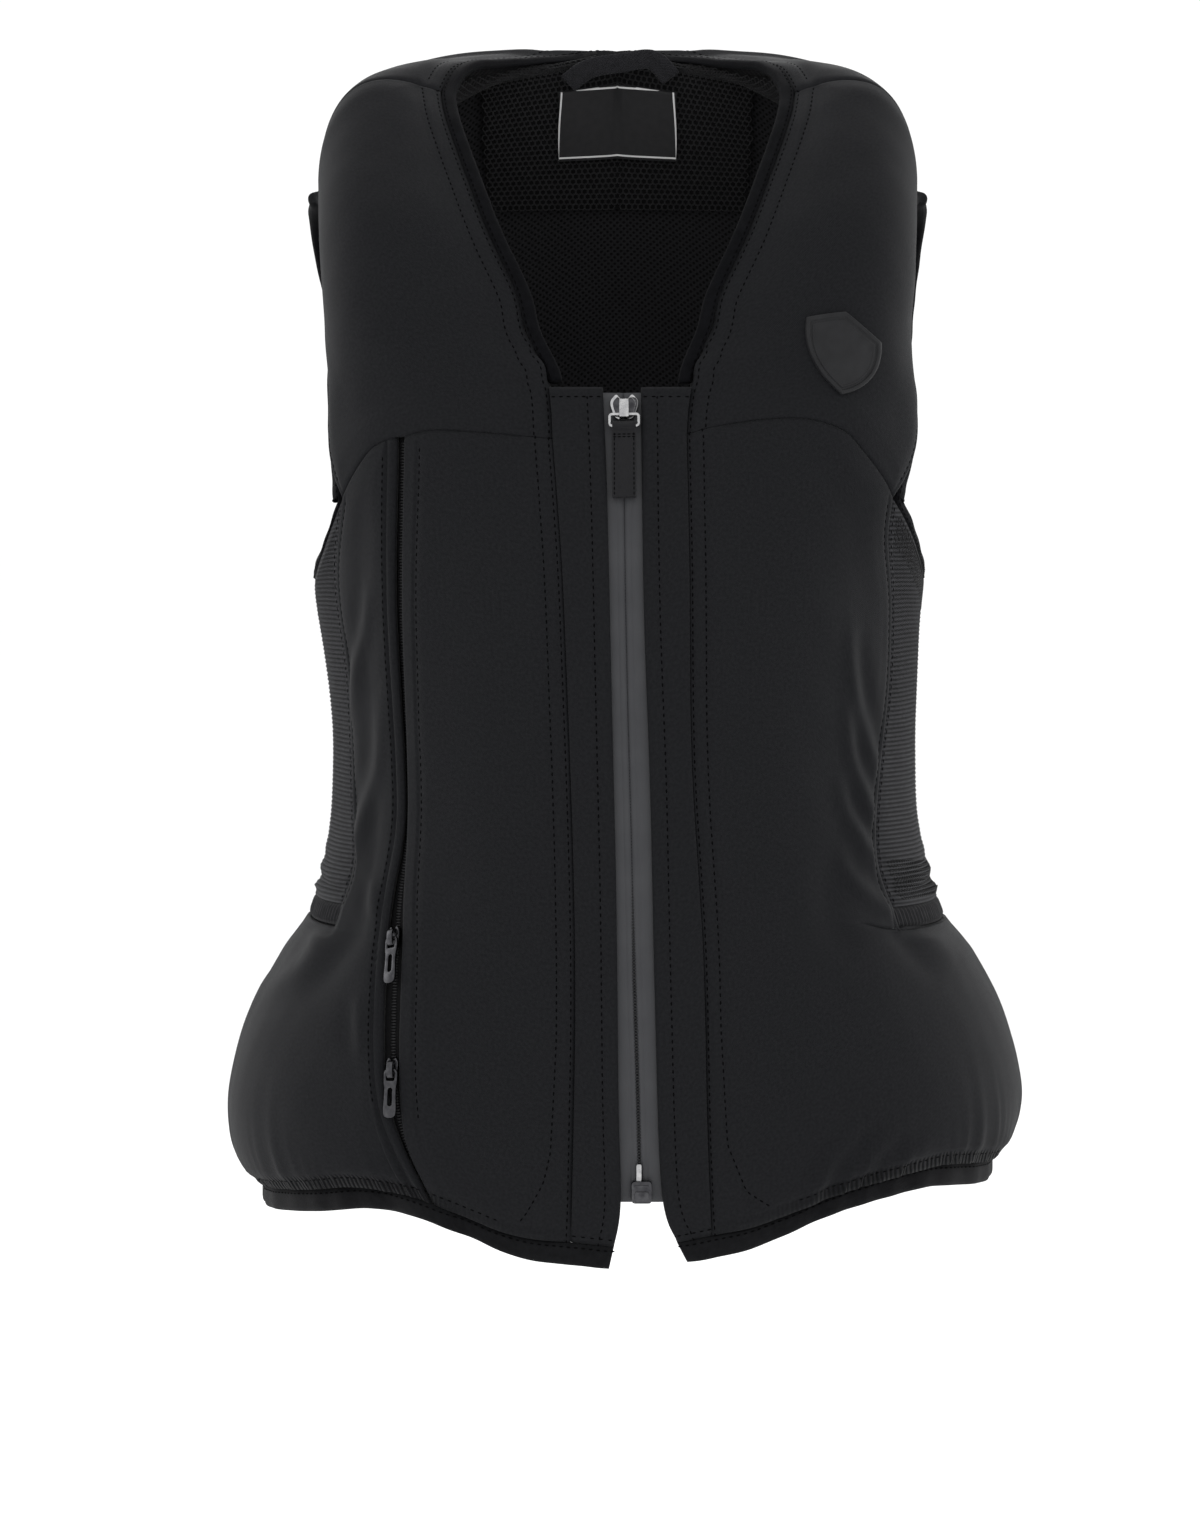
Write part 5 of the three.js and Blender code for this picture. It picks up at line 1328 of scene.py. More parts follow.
for side in (right, left):
    top = side["ribUp"][-1]
    far = 2 - backRib
    frontRib = side["ribFoot"][0]

    def level(t, frontRib=frontRib, far=far):
        return lambda f: np.column_stack([np.interp(f, [0, 0.5, 1], [frontRib, 1, far]), np.full(len(f), t)])

    name = "side_panel_" + side["name"]
    edges = {"inner": stretch(side["ribUp"]), "outer": straight((far, bandHigh), (far, top[1])),
             "bottom": level(bandHigh),
             "top": stretch([top, *armpit, (2 - armpit[0][0], armpit[0][1]), (far, top[1])])}
    panel = thinPanel(edges, wrapped(side), np.linspace(0, 1, 60), np.linspace(0, 1, 480),
                      ribKnit["depth"], ribKnit["thickness"], ribProfile)
    panels[name] = panel
    piece = wallPiece(name, panel, finishes["rib"], finishes["rib"])
    border = edgeGap(panel)
    share = smooth(border, ribKnit["border"] - 1.5, ribKnit["border"])
    rises = np.linalg.norm(np.diff(panel["base"], axis=0), axis=-1)
    run = np.cumsum(np.vstack([np.zeros((1, rises.shape[1])), rises]), 0)
    setAttribute(piece.data, "ribRun", "FLOAT", np.tile(run.ravel(), 2) * mm)
    setAttribute(piece.data, "ribShare", "FLOAT", np.tile(share.ravel(), 2))
    out = -panel["toBody"].reshape(-1, 3)
    setAttribute(piece.data, "outward", "FLOAT_VECTOR", np.vstack([out, out]))
    grown(piece, ribTree, {"Pitch": ribPitch, "Depth": ribKnit["wave"] * mm, "Finish": finishes["rib"]})
    hand(piece, "rib_knit", name)
    flat, area = flatSize(panel)

    name = "side_band_" + side["name"]
    low, high = bandLow + sideBand["clear"], bandHigh
    edges = {"inner": straight((frontRib, low), (frontRib, high)), "outer": straight((far, low), (far, high)),
             "bottom": level(low), "top": level(high)}

    def bandProfile(panel):
        run = lengths(panel["base"][0])[None, :]
        pleats = np.sin(2 * math.pi * (run / sideBand["pleat"] + 0.25 * np.sin(run / 9.0)))
        ends = np.minimum(panel["away"]["bottom"], panel["away"]["top"])
        return 1.3 * bell(ends, 1.5) - sideBand["pleatDepth"] * pleats * smooth(ends, 0.3, 2.2)

    panels[name] = thinPanel(
        edges, wrapped(side), np.linspace(0, 1, 190), spaced(9.5, 0.8, near=0.4, reach=2.0),
        sideBand["depth"], sideBand["thickness"], bandProfile)
    layCloth(name, panels[name], finishes["band"], "binding")
print("stretch sides and bands laid")


# bindings that cap the open edges
turnEdge = {  # a panel's arrays seen from one edge: first along the edge, then into the panel
    "inner": lambda g: g, "outer": lambda g: g[:, ::-1],
    "bottom": lambda g: np.swapaxes(g, 0, 1), "top": lambda g: np.swapaxes(g[::-1], 0, 1),
}


def edgeLine(panel, edge):  # middle of the edge, way out of the panel, way out of its face
    turn = turnEdge[edge]
    outer, inner = turn(panel["outer"]), turn(panel["inner"])
    middle = (outer + inner) / 2
    gaps = np.median(np.linalg.norm(middle - middle[:, :1], axis=-1), axis=0)
    deep = int(np.searchsorted(gaps, 4.0))
    out = unit(outer[:, 0] - inner[:, 0])
    away = middle[:, 0] - middle[:, deep]
    away = unit(away - out * (away * out).sum(-1, keepdims=True))
    return np.stack([middle[:, 0], away, out], 1)


def softened(values, width, closed):
    kernel = np.ones(width) / width
    reach = width // 2
    mode = "wrap" if closed else "edge"
    flat = values.reshape(len(values), -1)
    padded = np.pad(flat, ((reach, reach), (0, 0)), mode=mode)
    done = np.column_stack([np.convolve(padded[:, k], kernel, "valid") for k in range(flat.shape[1])])
    if not closed:
        done[[0, -1]] = flat[[0, -1]]
    return done.reshape(values.shape)


def bindingPath(lines, closed, step=2.4):
    path = np.concatenate(lines)
    if closed:
        path = np.concatenate([path, path[:1]])
    run = lengths(path[:, 0])
    at = np.linspace(0, run[-1], int(run[-1] / step), endpoint=not closed)
    flat = path.reshape(len(path), -1)
    even = np.column_stack([np.interp(at, run, flat[:, k]) for k in range(9)]).reshape(-1, 3, 3)
    for width in (5, 3):
        even = softened(even, width, closed)
    even[:, 1] = unit(even[:, 1])
    even[:, 2] = unit(even[:, 2])
    return even


turnsRound = np.linspace(0, 2 * math.pi, 18, endpoint=False)
foldedSection = np.column_stack([
    0.5 * np.sign(np.cos(turnsRound)) * np.abs(np.cos(turnsRound)) ** 0.55,
    0.5 * np.sign(np.sin(turnsRound)) * np.abs(np.sin(turnsRound)) ** 0.8])
armholeStrip = {"width": 6.4, "thickness": 4.2, "ripple": 0.2}
bindings = {  # finished width and thickness, and the ripple of the strip
    "neck_binding": {"width": 6.6, "thickness": 4.8, "ripple": 0.12},
    "armhole_binding_right": armholeStrip, "armhole_binding_left": armholeStrip,
    # the hem binding takes the lighter copy of the binding finish, with painted light
    "hem_binding": {"width": 10.2, "thickness": 4.8, "ripple": 0.35, "finish": "hemBindingLit"},
}
bindingGap = 0.03
halfOf = {"right": backHalves[0], "left": backHalves[1]}


def neckEdges(side):
    front = edgeLine(panels["yoke_" + side], "inner")[panels["yoke_" + side]["v"] >= 2 / 11]
    front = front[lengths(front[:, 0]) > 2.5]
    return front, edgeLine(halfOf[side], "inner")[backJoined:][::-1]


def armholeEdges(side):
    behind = edgeLine(halfOf[side], "outer")[backV >= 18 / 28][::-1]
    return [edgeLine(panels["yoke_" + side], "outer"), behind,
            edgeLine(panels["side_panel_" + side], "top")[::-1]]


(neckRight, napeRight), (neckLeft, napeLeft) = neckEdges("right"), neckEdges("left")
bindingLines = {
    "neck_binding": ([neckRight, napeRight, napeLeft[::-1], neckLeft[::-1]], False),
    "armhole_binding_right": (armholeEdges("right"), True),
    "armhole_binding_left": (armholeEdges("left"), True),
    "hem_binding": ([
        *[edgeLine(panels[name], "bottom") for name in ("placket_right", "front_right", "side_front_right")],
        edgeLine(halfOf["right"], "bottom")[::-1], edgeLine(halfOf["left"], "bottom"),
        *[edgeLine(panels[name], "bottom")[::-1] for name in ("front_left", "placket_left")]], False),
}
stitchRows = []  # runs of points with the way out of the cloth
for name, (lines, closed) in bindingLines.items():
    cut = bindings[name]
    path = bindingPath(lines, closed)
    middle, away, out = path[:, 0], path[:, 1], path[:, 2]
    run = lengths(middle)
    lift = cut["ripple"] * (np.sin(run / 2.9 + 1.5 * np.sin(run / 21.0)) + 0.6 * np.sin(run / 7.1))
    across = bindingGap + cut["width"] * (foldedSection[:, 0] + 0.5)
    rings = middle[:, None] + away[:, None] * across[None, :, None]
    rings = rings + out[:, None] * (cut["thickness"] * foldedSection[None, :, 1, None] + lift[:, None, None])
    piece = hand(sweep(name, rings, finishes[cut.get("finish", "binding")], closed), "binding", name)
    top = middle + away * (bindingGap + 0.2 * cut["width"]) + out * (cut["thickness"] * 0.485 + lift)[:, None]
    if closed:
        top, out = np.vstack([top, top[:1]]), np.vstack([out, out[:1]])
    stitchRows.append((top, out))
print("bindings swept")

# pocket zip behind the two lips
pocketZip = {"depth": 4.8, "thickness": 1.2, "tuck": 2.6, "topRise": 1.5, "foot": (86.0, -455.0, 0.3)}
tapeRows = np.vstack([pocketRows[:-1], pocketZip["foot"]])
tapeRows[0, 1] += pocketZip["topRise"]


def pocketEdge(direction):
    x = tapeRows[:, 0] + direction * (tapeRows[:, 2] + pocketZip["tuck"])
    points = np.column_stack([x, tapeRows[:, 1]])
    return lambda v: seam(right, points[::-1], v)


pocketIn, pocketOut = pocketEdge(-1), pocketEdge(1)
pocketEnds = (endsOf(pocketIn), endsOf(pocketOut))
panels["pocket_zip_tape"] = thinPanel(
    {"inner": pocketIn, "outer": pocketOut, "bottom": straight(pocketEnds[0][0], pocketEnds[1][0]),
     "top": straight(pocketEnds[0][1], pocketEnds[1][1])},
    onFront(right), np.linspace(0, 1, 8), np.linspace(0, 1, 170), pocketZip["depth"], pocketZip["thickness"])
layCloth("pocket_zip_tape", panels["pocket_zip_tape"], finishes["pocketTape"], "pocket_coil")


# stitches, zip teeth and mesh cells are small shapes set along lines and over points
def turnedTo(tree, first, second):
    facing = addNode(tree, "FunctionNodeAlignRotationToVector", {"Vector": first}, axis="X")
    return addNode(tree, "FunctionNodeAlignRotationToVector",
                   {"Rotation": facing.outputs["Rotation"], "Vector": second}, axis="Z",
                   pivot_axis="X").outputs["Rotation"]


def placedTree(tree, given, points, shape, rotation):
    placed = addNode(tree, "GeometryNodeInstanceOnPoints",
                     {"Points": points, "Instance": shape, "Rotation": rotation})
    real = addNode(tree, "GeometryNodeRealizeInstances", {"Geometry": placed.outputs["Instances"]})
    rounded = addNode(tree, "GeometryNodeSetShadeSmooth", {"Geometry": real.outputs["Geometry"]})
    closeTree(tree, given, rounded.outputs["Geometry"])


def grainTree(name):  # grains of a length, width and height, set along lines at a spacing
    tree, given = geometryTree(name, ["Spacing", "Length", "Width", "Height"])
    line = addNode(tree, "GeometryNodeMeshToCurve", {"Mesh": given["Geometry"]})
    even = addNode(tree, "GeometryNodeResampleCurve",
                   {"Curve": line.outputs["Curve"], "Length": given["Spacing"]}, mode="LENGTH")
    ball = addNode(tree, "GeometryNodeMeshUVSphere", {"Segments": 8, "Rings": 5, "Radius": 0.5})
    size = addNode(tree, "ShaderNodeCombineXYZ",
                   {"X": given["Length"], "Y": given["Width"], "Z": given["Height"]})
    grain = addNode(tree, "GeometryNodeTransform",
                    {"Geometry": ball.outputs["Mesh"], "Scale": size.outputs["Vector"]})
    way = addNode(tree, "GeometryNodeInputTangent").outputs["Tangent"]
    placedTree(tree, given, even.outputs["Curve"], grain.outputs["Geometry"],
               turnedTo(tree, way, named(tree, "outward")))
    return tree


def lineObject(name, rows):
    verts, edges, outs, start = [], [], [], 0
    for points, out in rows:
        verts.append(points)
        outs.append(out)
        edges += [(start + k, start + k + 1) for k in range(len(points) - 1)]
        start += len(points)
    mesh = bpy.data.meshes.new(name)
    mesh.from_pydata((np.vstack(verts) * mm).tolist(), edges, [])
    setAttribute(mesh, "outward", "FLOAT_VECTOR", np.vstack(outs))
    return linked(name, mesh)


def ownUv(obj):  # a plain map for the small shapes, by place
    mesh = obj.data
    co = np.empty(len(mesh.vertices) * 3, np.float32)
    mesh.vertices.foreach_get("co", co)
    co = co.reshape(-1, 3)
    for layer in list(mesh.uv_layers):
        mesh.uv_layers.remove(layer)
    setUv(mesh, np.column_stack([co[:, 0] + co[:, 1], co[:, 2]]))
    return obj


def rowAlong(panel, edge, gap, low, high, lift):
    turn = turnEdge[edge]
    away, outer, normals = turn(panel["away"][edge]), turn(panel["outer"]), turn(panel["normals"])
    shares = panel["v"] if edge in ("inner", "outer") else panel["u"]
    points, outs = [], []
    for k in np.flatnonzero((shares >= low) & (shares <= high)):
        want = gap(outer[k, 0, 2]) if callable(gap) else gap
        past = np.flatnonzero(away[k] >= want)
        if len(past) == 0 or past[0] == 0:
            continue
        i = past[0]
        f = (want - away[k, i - 1]) / max(away[k, i] - away[k, i - 1], 1e-6)
        points.append(outer[k, i - 1] + f * (outer[k, i] - outer[k, i - 1]))
        outs.append(normals[k, i])
    points, outs = np.array(points), np.array(outs)
    return points + outs * lift, outs


def grainSizes(sizes, finish):
    given = {key.capitalize(): sizes[key] * mm for key in ("spacing", "length", "width", "height")}
    return {**given, "Finish": finishes[finish]}


topstitch = {"spacing": 3.3, "length": 1.9, "width": 0.7, "height": 0.36, "lift": 0.02}


def secondRow(name):
    return lambda z: linedAt(placketRows[name], z)


ribPart = bodyMarks[3] / bodyMarks[-1]  # where the stretch side begins, by share of a body seam
casing = gathers["casing"]
wanted = [
    ("front_right", "outer", pocketWelt["row"], 0.13, 0.985), ("front_right", "bottom", casing, 0.3, 1),
    ("side_front_right", "inner", pocketWelt["outerRow"], 0.13, 0.985),
    ("side_front_right", "outer", ribRow, ribPart, 0.98), ("side_front_right", "bottom", casing, 0, 0.97),
    ("front_left", "outer", ribRow, ribPart, 0.98), ("front_left", "bottom", casing, 0.2, 0.97),
]
for side in ("right", "left"):
    wanted += [
        ("front_" + side, "inner", placketFirst[side], 0, 1),
        ("front_" + side, "inner", secondRow(side), 0.02, 1),
        ("placket_" + side, "inner", placket["row"], 0, 0.985),
        ("placket_" + side, "top", placket["topRow"], 0.06, 0.94),
        ("placket_" + side, "bottom", placket["hemRow"], 0.1, 0.95),
        ("yoke_" + side, "inner", neckBand["rows"][0], 0, 1),
        ("yoke_" + side, "inner", neckBand["rows"][1], 0.01, 0.99),
        ("yoke_" + side, "outer", armholeRow, 0.02, 0.99),
        ("side_panel_" + side, "inner", ribKnit["row"], 0.02, 0.98),
        ("side_panel_" + side, "outer", ribKnit["row"], 0.02, 0.98)]
backWanted = [
    ("inner", backNeckRows[0], backForm["joined"], 1), ("inner", backNeckRows[1], backForm["joined"], 0.99),
    ("outer", ribRow, bodyMarks[3] / backMarks[-1], 0.99), ("bottom", casing, 0, 0.98)]
stitchRows += [rowAlong(panels[n], e, gap, low, high, topstitch["lift"]) for n, e, gap, low, high in wanted]
stitchRows += [rowAlong(half, *row, topstitch["lift"]) for half in backHalves for row in backWanted]
stitchTree = grainTree("stitchRun")
stitching = grown(lineObject("stitching", [r for r in stitchRows if len(r[0]) > 1]), stitchTree,
                  grainSizes(topstitch, "thread"))
hand(ownUv(stitching), "shell")
print("stitching", len(stitching.data.polygons), "faces")

mainCoil = {"spacing": 1.35, "length": 0.95, "width": 2.3, "height": 0.9, "top": -114.0, "sink": 0.55,
            "hidden": (-372, -300)}
leftEdge, rightEdge = panels["zip_tape_left"], panels["zip_tape_right"]
coilLine = (leftEdge["outer"][:, 0] + rightEdge["outer"][:, 0]) / 2
coilOut = -unit(leftEdge["toBody"][:, 0] + rightEdge["toBody"][:, 0])
hidden = 0.9 * smooth(coilLine[:, 2], *mainCoil["hidden"])
coilLine = coilLine + coilOut * (mainCoil["sink"] - hidden)[:, None]
below = coilLine[:, 2] < mainCoil["top"]
teethTree = grainTree("zipTeeth")
teeth = grown(lineObject("zip_teeth", [(coilLine[below], coilOut[below])]), teethTree,
              grainSizes(mainCoil, "coil"))
hand(ownUv(teeth), "pocket_coil")

pocketCoil = {"spacing": 1.3, "length": 0.9, "width": 3.0, "height": 1.3}
pocketMid = panels["pocket_zip_tape"]
middleOf = pocketMid["outer"][2:-2].mean(1)
pocketTeeth = grown(lineObject("pocket_teeth", [(middleOf, pocketMid["normals"][2:-2, 4])]), teethTree,
                    grainSizes(pocketCoil, "coil"))
hand(ownUv(pocketTeeth), "pocket_coil")
print("zip teeth set")


# hard pieces, drawn flat in millimetres and stood on the cloth
def soft(points, times=1):  # cuts the corners of a closed outline
    points = np.asarray(points, float)
    for _ in range(times):
        after = np.roll(points, -1, axis=0)
        points = np.stack([0.78 * points + 0.22 * after, 0.22 * points + 0.78 * after], 1).reshape(-1, 2)
    return points


def roundRect(width, height, radius, x=0.0, y=0.0, steps=5):
    quarter = np.linspace(0, math.pi / 2, steps)
    points = []
    for k, (sx, sy) in enumerate(((1, 1), (-1, 1), (-1, -1), (1, -1))):
        a = quarter + k * math.pi / 2
        cx, cy = x + sx * (width / 2 - radius), y + sy * (height / 2 - radius)
        points += list(zip(cx + radius * np.cos(a), cy + radius * np.sin(a)))
    return np.array(points)


def cutPlate(outlines, low, high, bevel):  # plate with holes and rounded edges
    curve = bpy.data.curves.new("plate", "CURVE")
    curve.dimensions = "2D"
    curve.fill_mode = "BOTH"
    curve.extrude = (high - low) / 2 - bevel
    curve.bevel_depth = bevel
    curve.bevel_resolution = 2
    curve.offset = -bevel
    for points in outlines:
        line = curve.splines.new("POLY")
        line.points.add(len(points) - 1)
        places = np.column_stack([points, np.zeros(len(points)), np.ones(len(points))])
        line.points.foreach_set("co", places.ravel())
        line.use_cyclic_u = True
    obj = linked("plate", curve)
    mesh = bpy.data.meshes.new_from_object(obj.evaluated_get(bpy.context.evaluated_depsgraph_get()))
    bpy.data.objects.remove(obj)
    bpy.data.curves.remove(curve)
    form = bmesh.new()
    form.from_mesh(mesh)
    bpy.data.meshes.remove(mesh)
    bmesh.ops.remove_doubles(form, verts=form.verts, dist=1e-4)
    bmesh.ops.recalc_face_normals(form, faces=form.faces)
    bmesh.ops.translate(form, verts=form.verts, vec=(0, 0, (low + high) / 2))
    return form


# turns a profile so that it is drawn out across the zip
acrossZip = Matrix(((0, 0, 1, 0), (1, 0, 0, 0), (0, 1, 0, 0), (0, 0, 0, 1)))


def hardPiece(name, forms, place, *mats):  # one finish for each form, or one for all
    mesh = bpy.data.meshes.new(name)
    whole = bmesh.new()
    for k, form in enumerate(forms):
        for face in form.faces:
            face.material_index = min(k, len(mats) - 1)
        part = bpy.data.meshes.new("part")
        form.to_mesh(part)
        form.free()
        whole.from_mesh(part)
        bpy.data.meshes.remove(part)
    layer = whole.loops.layers.uv.new("cloth")
    for face in whole.faces:
        face.smooth = True
        for corner in face.loops:
            corner[layer].uv = (corner.vert.co.x * mm, corner.vert.co.y * mm)
    whole.transform(Matrix.Scale(mm, 4) @ place)
    whole.to_mesh(mesh)
    whole.free()
    mesh.set_sharp_from_angle(angle=math.radians(38))
    for mat in mats:
        mesh.materials.append(mat)
    return linked(name, mesh)


def shellPoint(side, x, z, depth):
    place = findFront(side, x, z)
    p = shell(side["front"], place[..., 0], place[..., 1])
    return (p + inward(p) * depth)[0]


def stand(side, x, z, depth):  # x to the wearer's left, y up along the cloth, z out of it
    up = unit(shellPoint(side, x, z + 4, depth) - shellPoint(side, x, z - 4, depth))
    foot = shellPoint(side, x, z, depth)
    level = (shellPoint(side, x + 3, z, depth) - foot) * side["sign"]
    out = unit(np.cross(level, up))
    columns = np.column_stack([np.cross(up, out), up, out, foot])
    return Matrix([list(row) for row in columns] + [[0, 0, 0, 1]])


def hinge(sizes, lean):
    pin = (0, sizes["hingeY"], sizes["body"] + sizes["hole"] / 2)
    return Matrix.Translation(pin) @ Matrix.Rotation(lean, 4, "X")


def sliderForms(sizes):
    w, h, ears = sizes["width"] / 2, sizes["height"] / 2, sizes["ears"]
    outline = [(-w * 0.62, -h), (w * 0.62, -h), (w, h * 0.2), (w, h * 0.7), (w * 0.55, h + ears),
               (w * 0.3, h * 0.75), (-w * 0.3, h * 0.75), (-w * 0.55, h + ears), (-w, h * 0.7), (-w, h * 0.2)]
    foot, ceiling = sizes["body"] - 0.3, sizes["body"] + sizes["hole"]
    roof = ceiling + sizes["roof"]
    arch = [(-h, foot), (-h * 0.84, foot), (-h * 0.8, ceiling), (h * 0.42, ceiling), (h * 0.46, foot),
            (h * 0.84, foot), (h * 0.62, roof), (-h * 0.84, roof)]
    body = cutPlate([soft(outline, 2)], 0, sizes["body"], sizes["bevel"])
    inside = [(x * 0.78, y * 0.8) for x, y in outline]
    rim = cutPlate([soft(outline, 2) * 0.98, soft(inside, 2)], sizes["body"] - 0.2, sizes["body"] + 0.35,
                   0.15)
    half = sizes["bridgeWidth"] / 2
    bridge = cutPlate([soft(arch, 2)], -half, half, sizes["bevel"] * 0.6)
    bridge.transform(acrossZip)
    return [body, rim, bridge]


mainSlider = {"x": 0.6, "z": -107, "seat": 0.7, "width": 12.4, "height": 11, "body": 2.4, "bridgeWidth": 4.2,
              "hole": 2.6, "roof": 1.0, "ears": 1.6, "hingeY": -3.2, "bevel": 0.5, "lean": math.radians(3)}
mainStand = stand(left, mainSlider["x"], mainSlider["z"], zipCut["depth"] - mainSlider["seat"])
slider = hardPiece("zip_slider_plated", sliderForms(mainSlider), mainStand, finishes["gunmetal"],
                   finishes["nickel"], finishes["nickel"])
hand(slider, "nickel", "zip_slider")
mainHinge = mainStand @ hinge(mainSlider, mainSlider["lean"])

pullRing = {"width": 14.2, "wire": 1.5, "thickness": 1.4, "reach": 5.2}


def loopForm(points, across, through, sides=10):  # closed wire round a flat outline
    count = len(points)
    way = unit(np.roll(points, -1, axis=0) - np.roll(points, 1, axis=0))
    side = np.column_stack([way[:, 1], -way[:, 0]])
    form = bmesh.new()
    turn = np.linspace(0, 2 * math.pi, sides, endpoint=False)
    verts = [[form.verts.new((*(points[k] + side[k] * across * math.cos(a)), through * math.sin(a)))
              for a in turn] for k in range(count)]
    for k in range(count):
        for m in range(sides):
            a, b = verts[k], verts[(k + 1) % count]
            form.faces.new((a[m], a[(m + 1) % sides], b[(m + 1) % sides], b[m]))
    bmesh.ops.recalc_face_normals(form, faces=form.faces)
    return form


ringPath = roundRect(pullRing["width"] - pullRing["wire"], pullRing["reach"], 1.1, 0,
                     -pullRing["reach"] / 2, 6)
ringForm = loopForm(ringPath, pullRing["wire"] / 2, pullRing["thickness"] / 2, 12)
ring = hardPiece("zip_pull_ring_plated", [ringForm], mainHinge, finishes["nickel"])
hand(ring, "nickel", "zip_pull_ring", body="main_pull")

pullTab = {"width": 10.4, "length": 32.6, "thickness": 2.2, "eye": 1.35, "wall": 0.8, "tack": 4.2}
eyeOuter, tabHalf = pullTab["eye"] + pullTab["wall"], pullTab["thickness"] / 2
neckAngle = math.asin(tabHalf / eyeOuter)
arc = np.linspace(math.pi + neckAngle, 3 * math.pi - neckAngle, 28)
eyeY = -pullRing["reach"]
tabOutline = np.vstack([np.column_stack([eyeY + eyeOuter * np.cos(arc), eyeOuter * np.sin(arc)]),
                        [(eyeY - pullTab["length"], tabHalf), (eyeY - pullTab["length"], -tabHalf)]])
circle = np.linspace(0, 2 * math.pi, 20, endpoint=False)
eyeHole = np.column_stack([eyeY + pullTab["eye"] * np.cos(circle), pullTab["eye"] * np.sin(circle)])
tabForm = cutPlate([tabOutline, eyeHole], -pullTab["width"] / 2, pullTab["width"] / 2, 0.3)
tabForm.transform(acrossZip)
tab = hardPiece("zip_pull_tab_woven", [tabForm], mainHinge, finishes["webbing"])
hand(tab, "webbing", "zip_pull_tab", body="main_pull")


def tabRow(xs, ys):  # stitches on the face of the tab
    places = np.array([list(mainHinge @ Vector((x, y, tabHalf + 0.02))) for x, y in zip(xs, ys)])
    out = np.array(mainHinge.to_3x3() @ Vector((0, 0, 1)))
    return places, np.tile(out, (len(xs), 1))


tackStitch = {"spacing": 2.1, "length": 1.7, "width": 0.5, "height": 0.4, "reach": 4.2, "side": 4.3,
              "end": 1.5}
tackY = eyeY - pullTab["tack"]
tackAcross = np.linspace(-tackStitch["reach"], tackStitch["reach"], 8)
tackDown = np.linspace(tackY, eyeY - pullTab["length"] + tackStitch["end"], 12)
tackRows = [tabRow(tackAcross, np.full(8, y)) for y in (tackY, tackY - 1.2)]
tackRows += [tabRow(np.full(12, x), tackDown) for x in (-tackStitch["side"], tackStitch["side"])]
tack = grown(lineObject("pull_stitching", tackRows), stitchTree, grainSizes(tackStitch, "thread"))
hand(ownUv(tack), "webbing", body="main_pull")

zipBox = {"z": -449.0, "offset": 0.8, "seat": 0.3, "width": 9.0, "height": 10.0, "thickness": 4.0,
          "corner": 1.6}
boxStand = stand(left, float(zipMiddle(np.array([zipBox["z"]]))[0]) + zipBox["offset"], zipBox["z"],
                 zipCut["depth"] - zipBox["seat"])
boxForms = [
    cutPlate([roundRect(zipBox["width"], zipBox["height"], zipBox["corner"])], 0, 3.4, 0.5),
    cutPlate([roundRect(6.4, 4.2, 1.0, 0, -1.6)], 3.2, zipBox["thickness"], 0.3),
    cutPlate([roundRect(6.4, 1.2, 0.5, 0, 2.8)], 3.2, 3.8, 0.2),
    cutPlate([roundRect(2.4, 9.0, 0.8, -1.2, 8.0)], 0, 2.2, 0.4),
]
box = hardPiece("zip_box_plated", boxForms, boxStand, *[finishes["gunmetal"]] * 3, finishes["nickel"])
hand(box, "gunmetal", "zip_box")

pocketSlider = {"seat": 0.3, "width": 5.6, "height": 9.4, "body": 2.2, "bridgeWidth": 2.8, "hole": 2.6,
                "roof": 1.0, "ears": 0.6, "hingeY": -0.6, "bevel": 0.4, "lean": math.radians(-4)}
pocketPull = {"width": 6.4, "length": 21.0, "thickness": 1.5, "bar": 1.5, "rail": 1.2, "window": 5.4,
              "bevel": 0.35}


def pullOutlines():
    w, window, length = pocketPull["width"] / 2, pocketPull["window"], pocketPull["length"]
    half = [(w, pocketPull["bar"] / 2), (w, -window), (w * 0.8, -window - 3), (w, -length + 2),
            (w * 0.6, -length)]
    outline = half + [(-x, y) for x, y in half[::-1]]
    opening = roundRect(pocketPull["width"] - 2 * pocketPull["rail"], window - pocketPull["bar"], 0.6, 0,
                        -window / 2)
    slotHole = roundRect(2.2, 8.0, 1.0, 0, -window - 2.4 - 4.0)
    return [soft(outline, 2), opening, slotHole]


for label, x, z in (("upper", 102.4, -340.5), ("lower", 103, -397)):
    here = stand(right, x, z, pocketZip["depth"] - pocketSlider["seat"])
    body = hardPiece("pocket_slider_%s_plated" % label, sliderForms(pocketSlider), here, finishes["gunmetal"])
    hand(body, "gunmetal", "pocket_slider_" + label)
    thick = pocketPull["thickness"] / 2
    plate = cutPlate(pullOutlines(), -thick, thick, pocketPull["bevel"])
    pull = hardPiece("pocket_pull_%s_plated" % label, [plate],
                     here @ hinge(pocketSlider, pocketSlider["lean"]), finishes["gunmetal"])
    hand(pull, "gunmetal", "pocket_pull_" + label, body=label + "_pocket_pull")
print("zip hardware stood on its tapes")

# blank shield badge, laid on the swollen yoke
badge = {"x": 97.5, "z": -82.0, "across": (33.7, -11.2), "up": (2.0, 36.9), "lift": 0.35}
badgeRings = [(0, 0), (0.6, 0), (1, 0), (1.0, 1.1), (0.992, 1.55), (0.972, 1.8), (0.915, 1.8), (0.898, 1.6),
              (0.89, 1.15), (0.88, 0.95), (0.835, 0.95), (0.826, 1.15), (0.815, 1.2), (0.798, 1.2),
              (0.788, 1.15), (0.778, 0.95), (0.6, 0.9), (0.35, 0.9), (0, 0.9)]


def quadratic(a, b, c, steps=16):
    f = np.linspace(0, 1, steps, endpoint=False)[:, None]
    a, b, c = (np.array(q, float) for q in (a, b, c))
    return (1 - f) ** 2 * a + 2 * f * (1 - f) * b + f * f * c


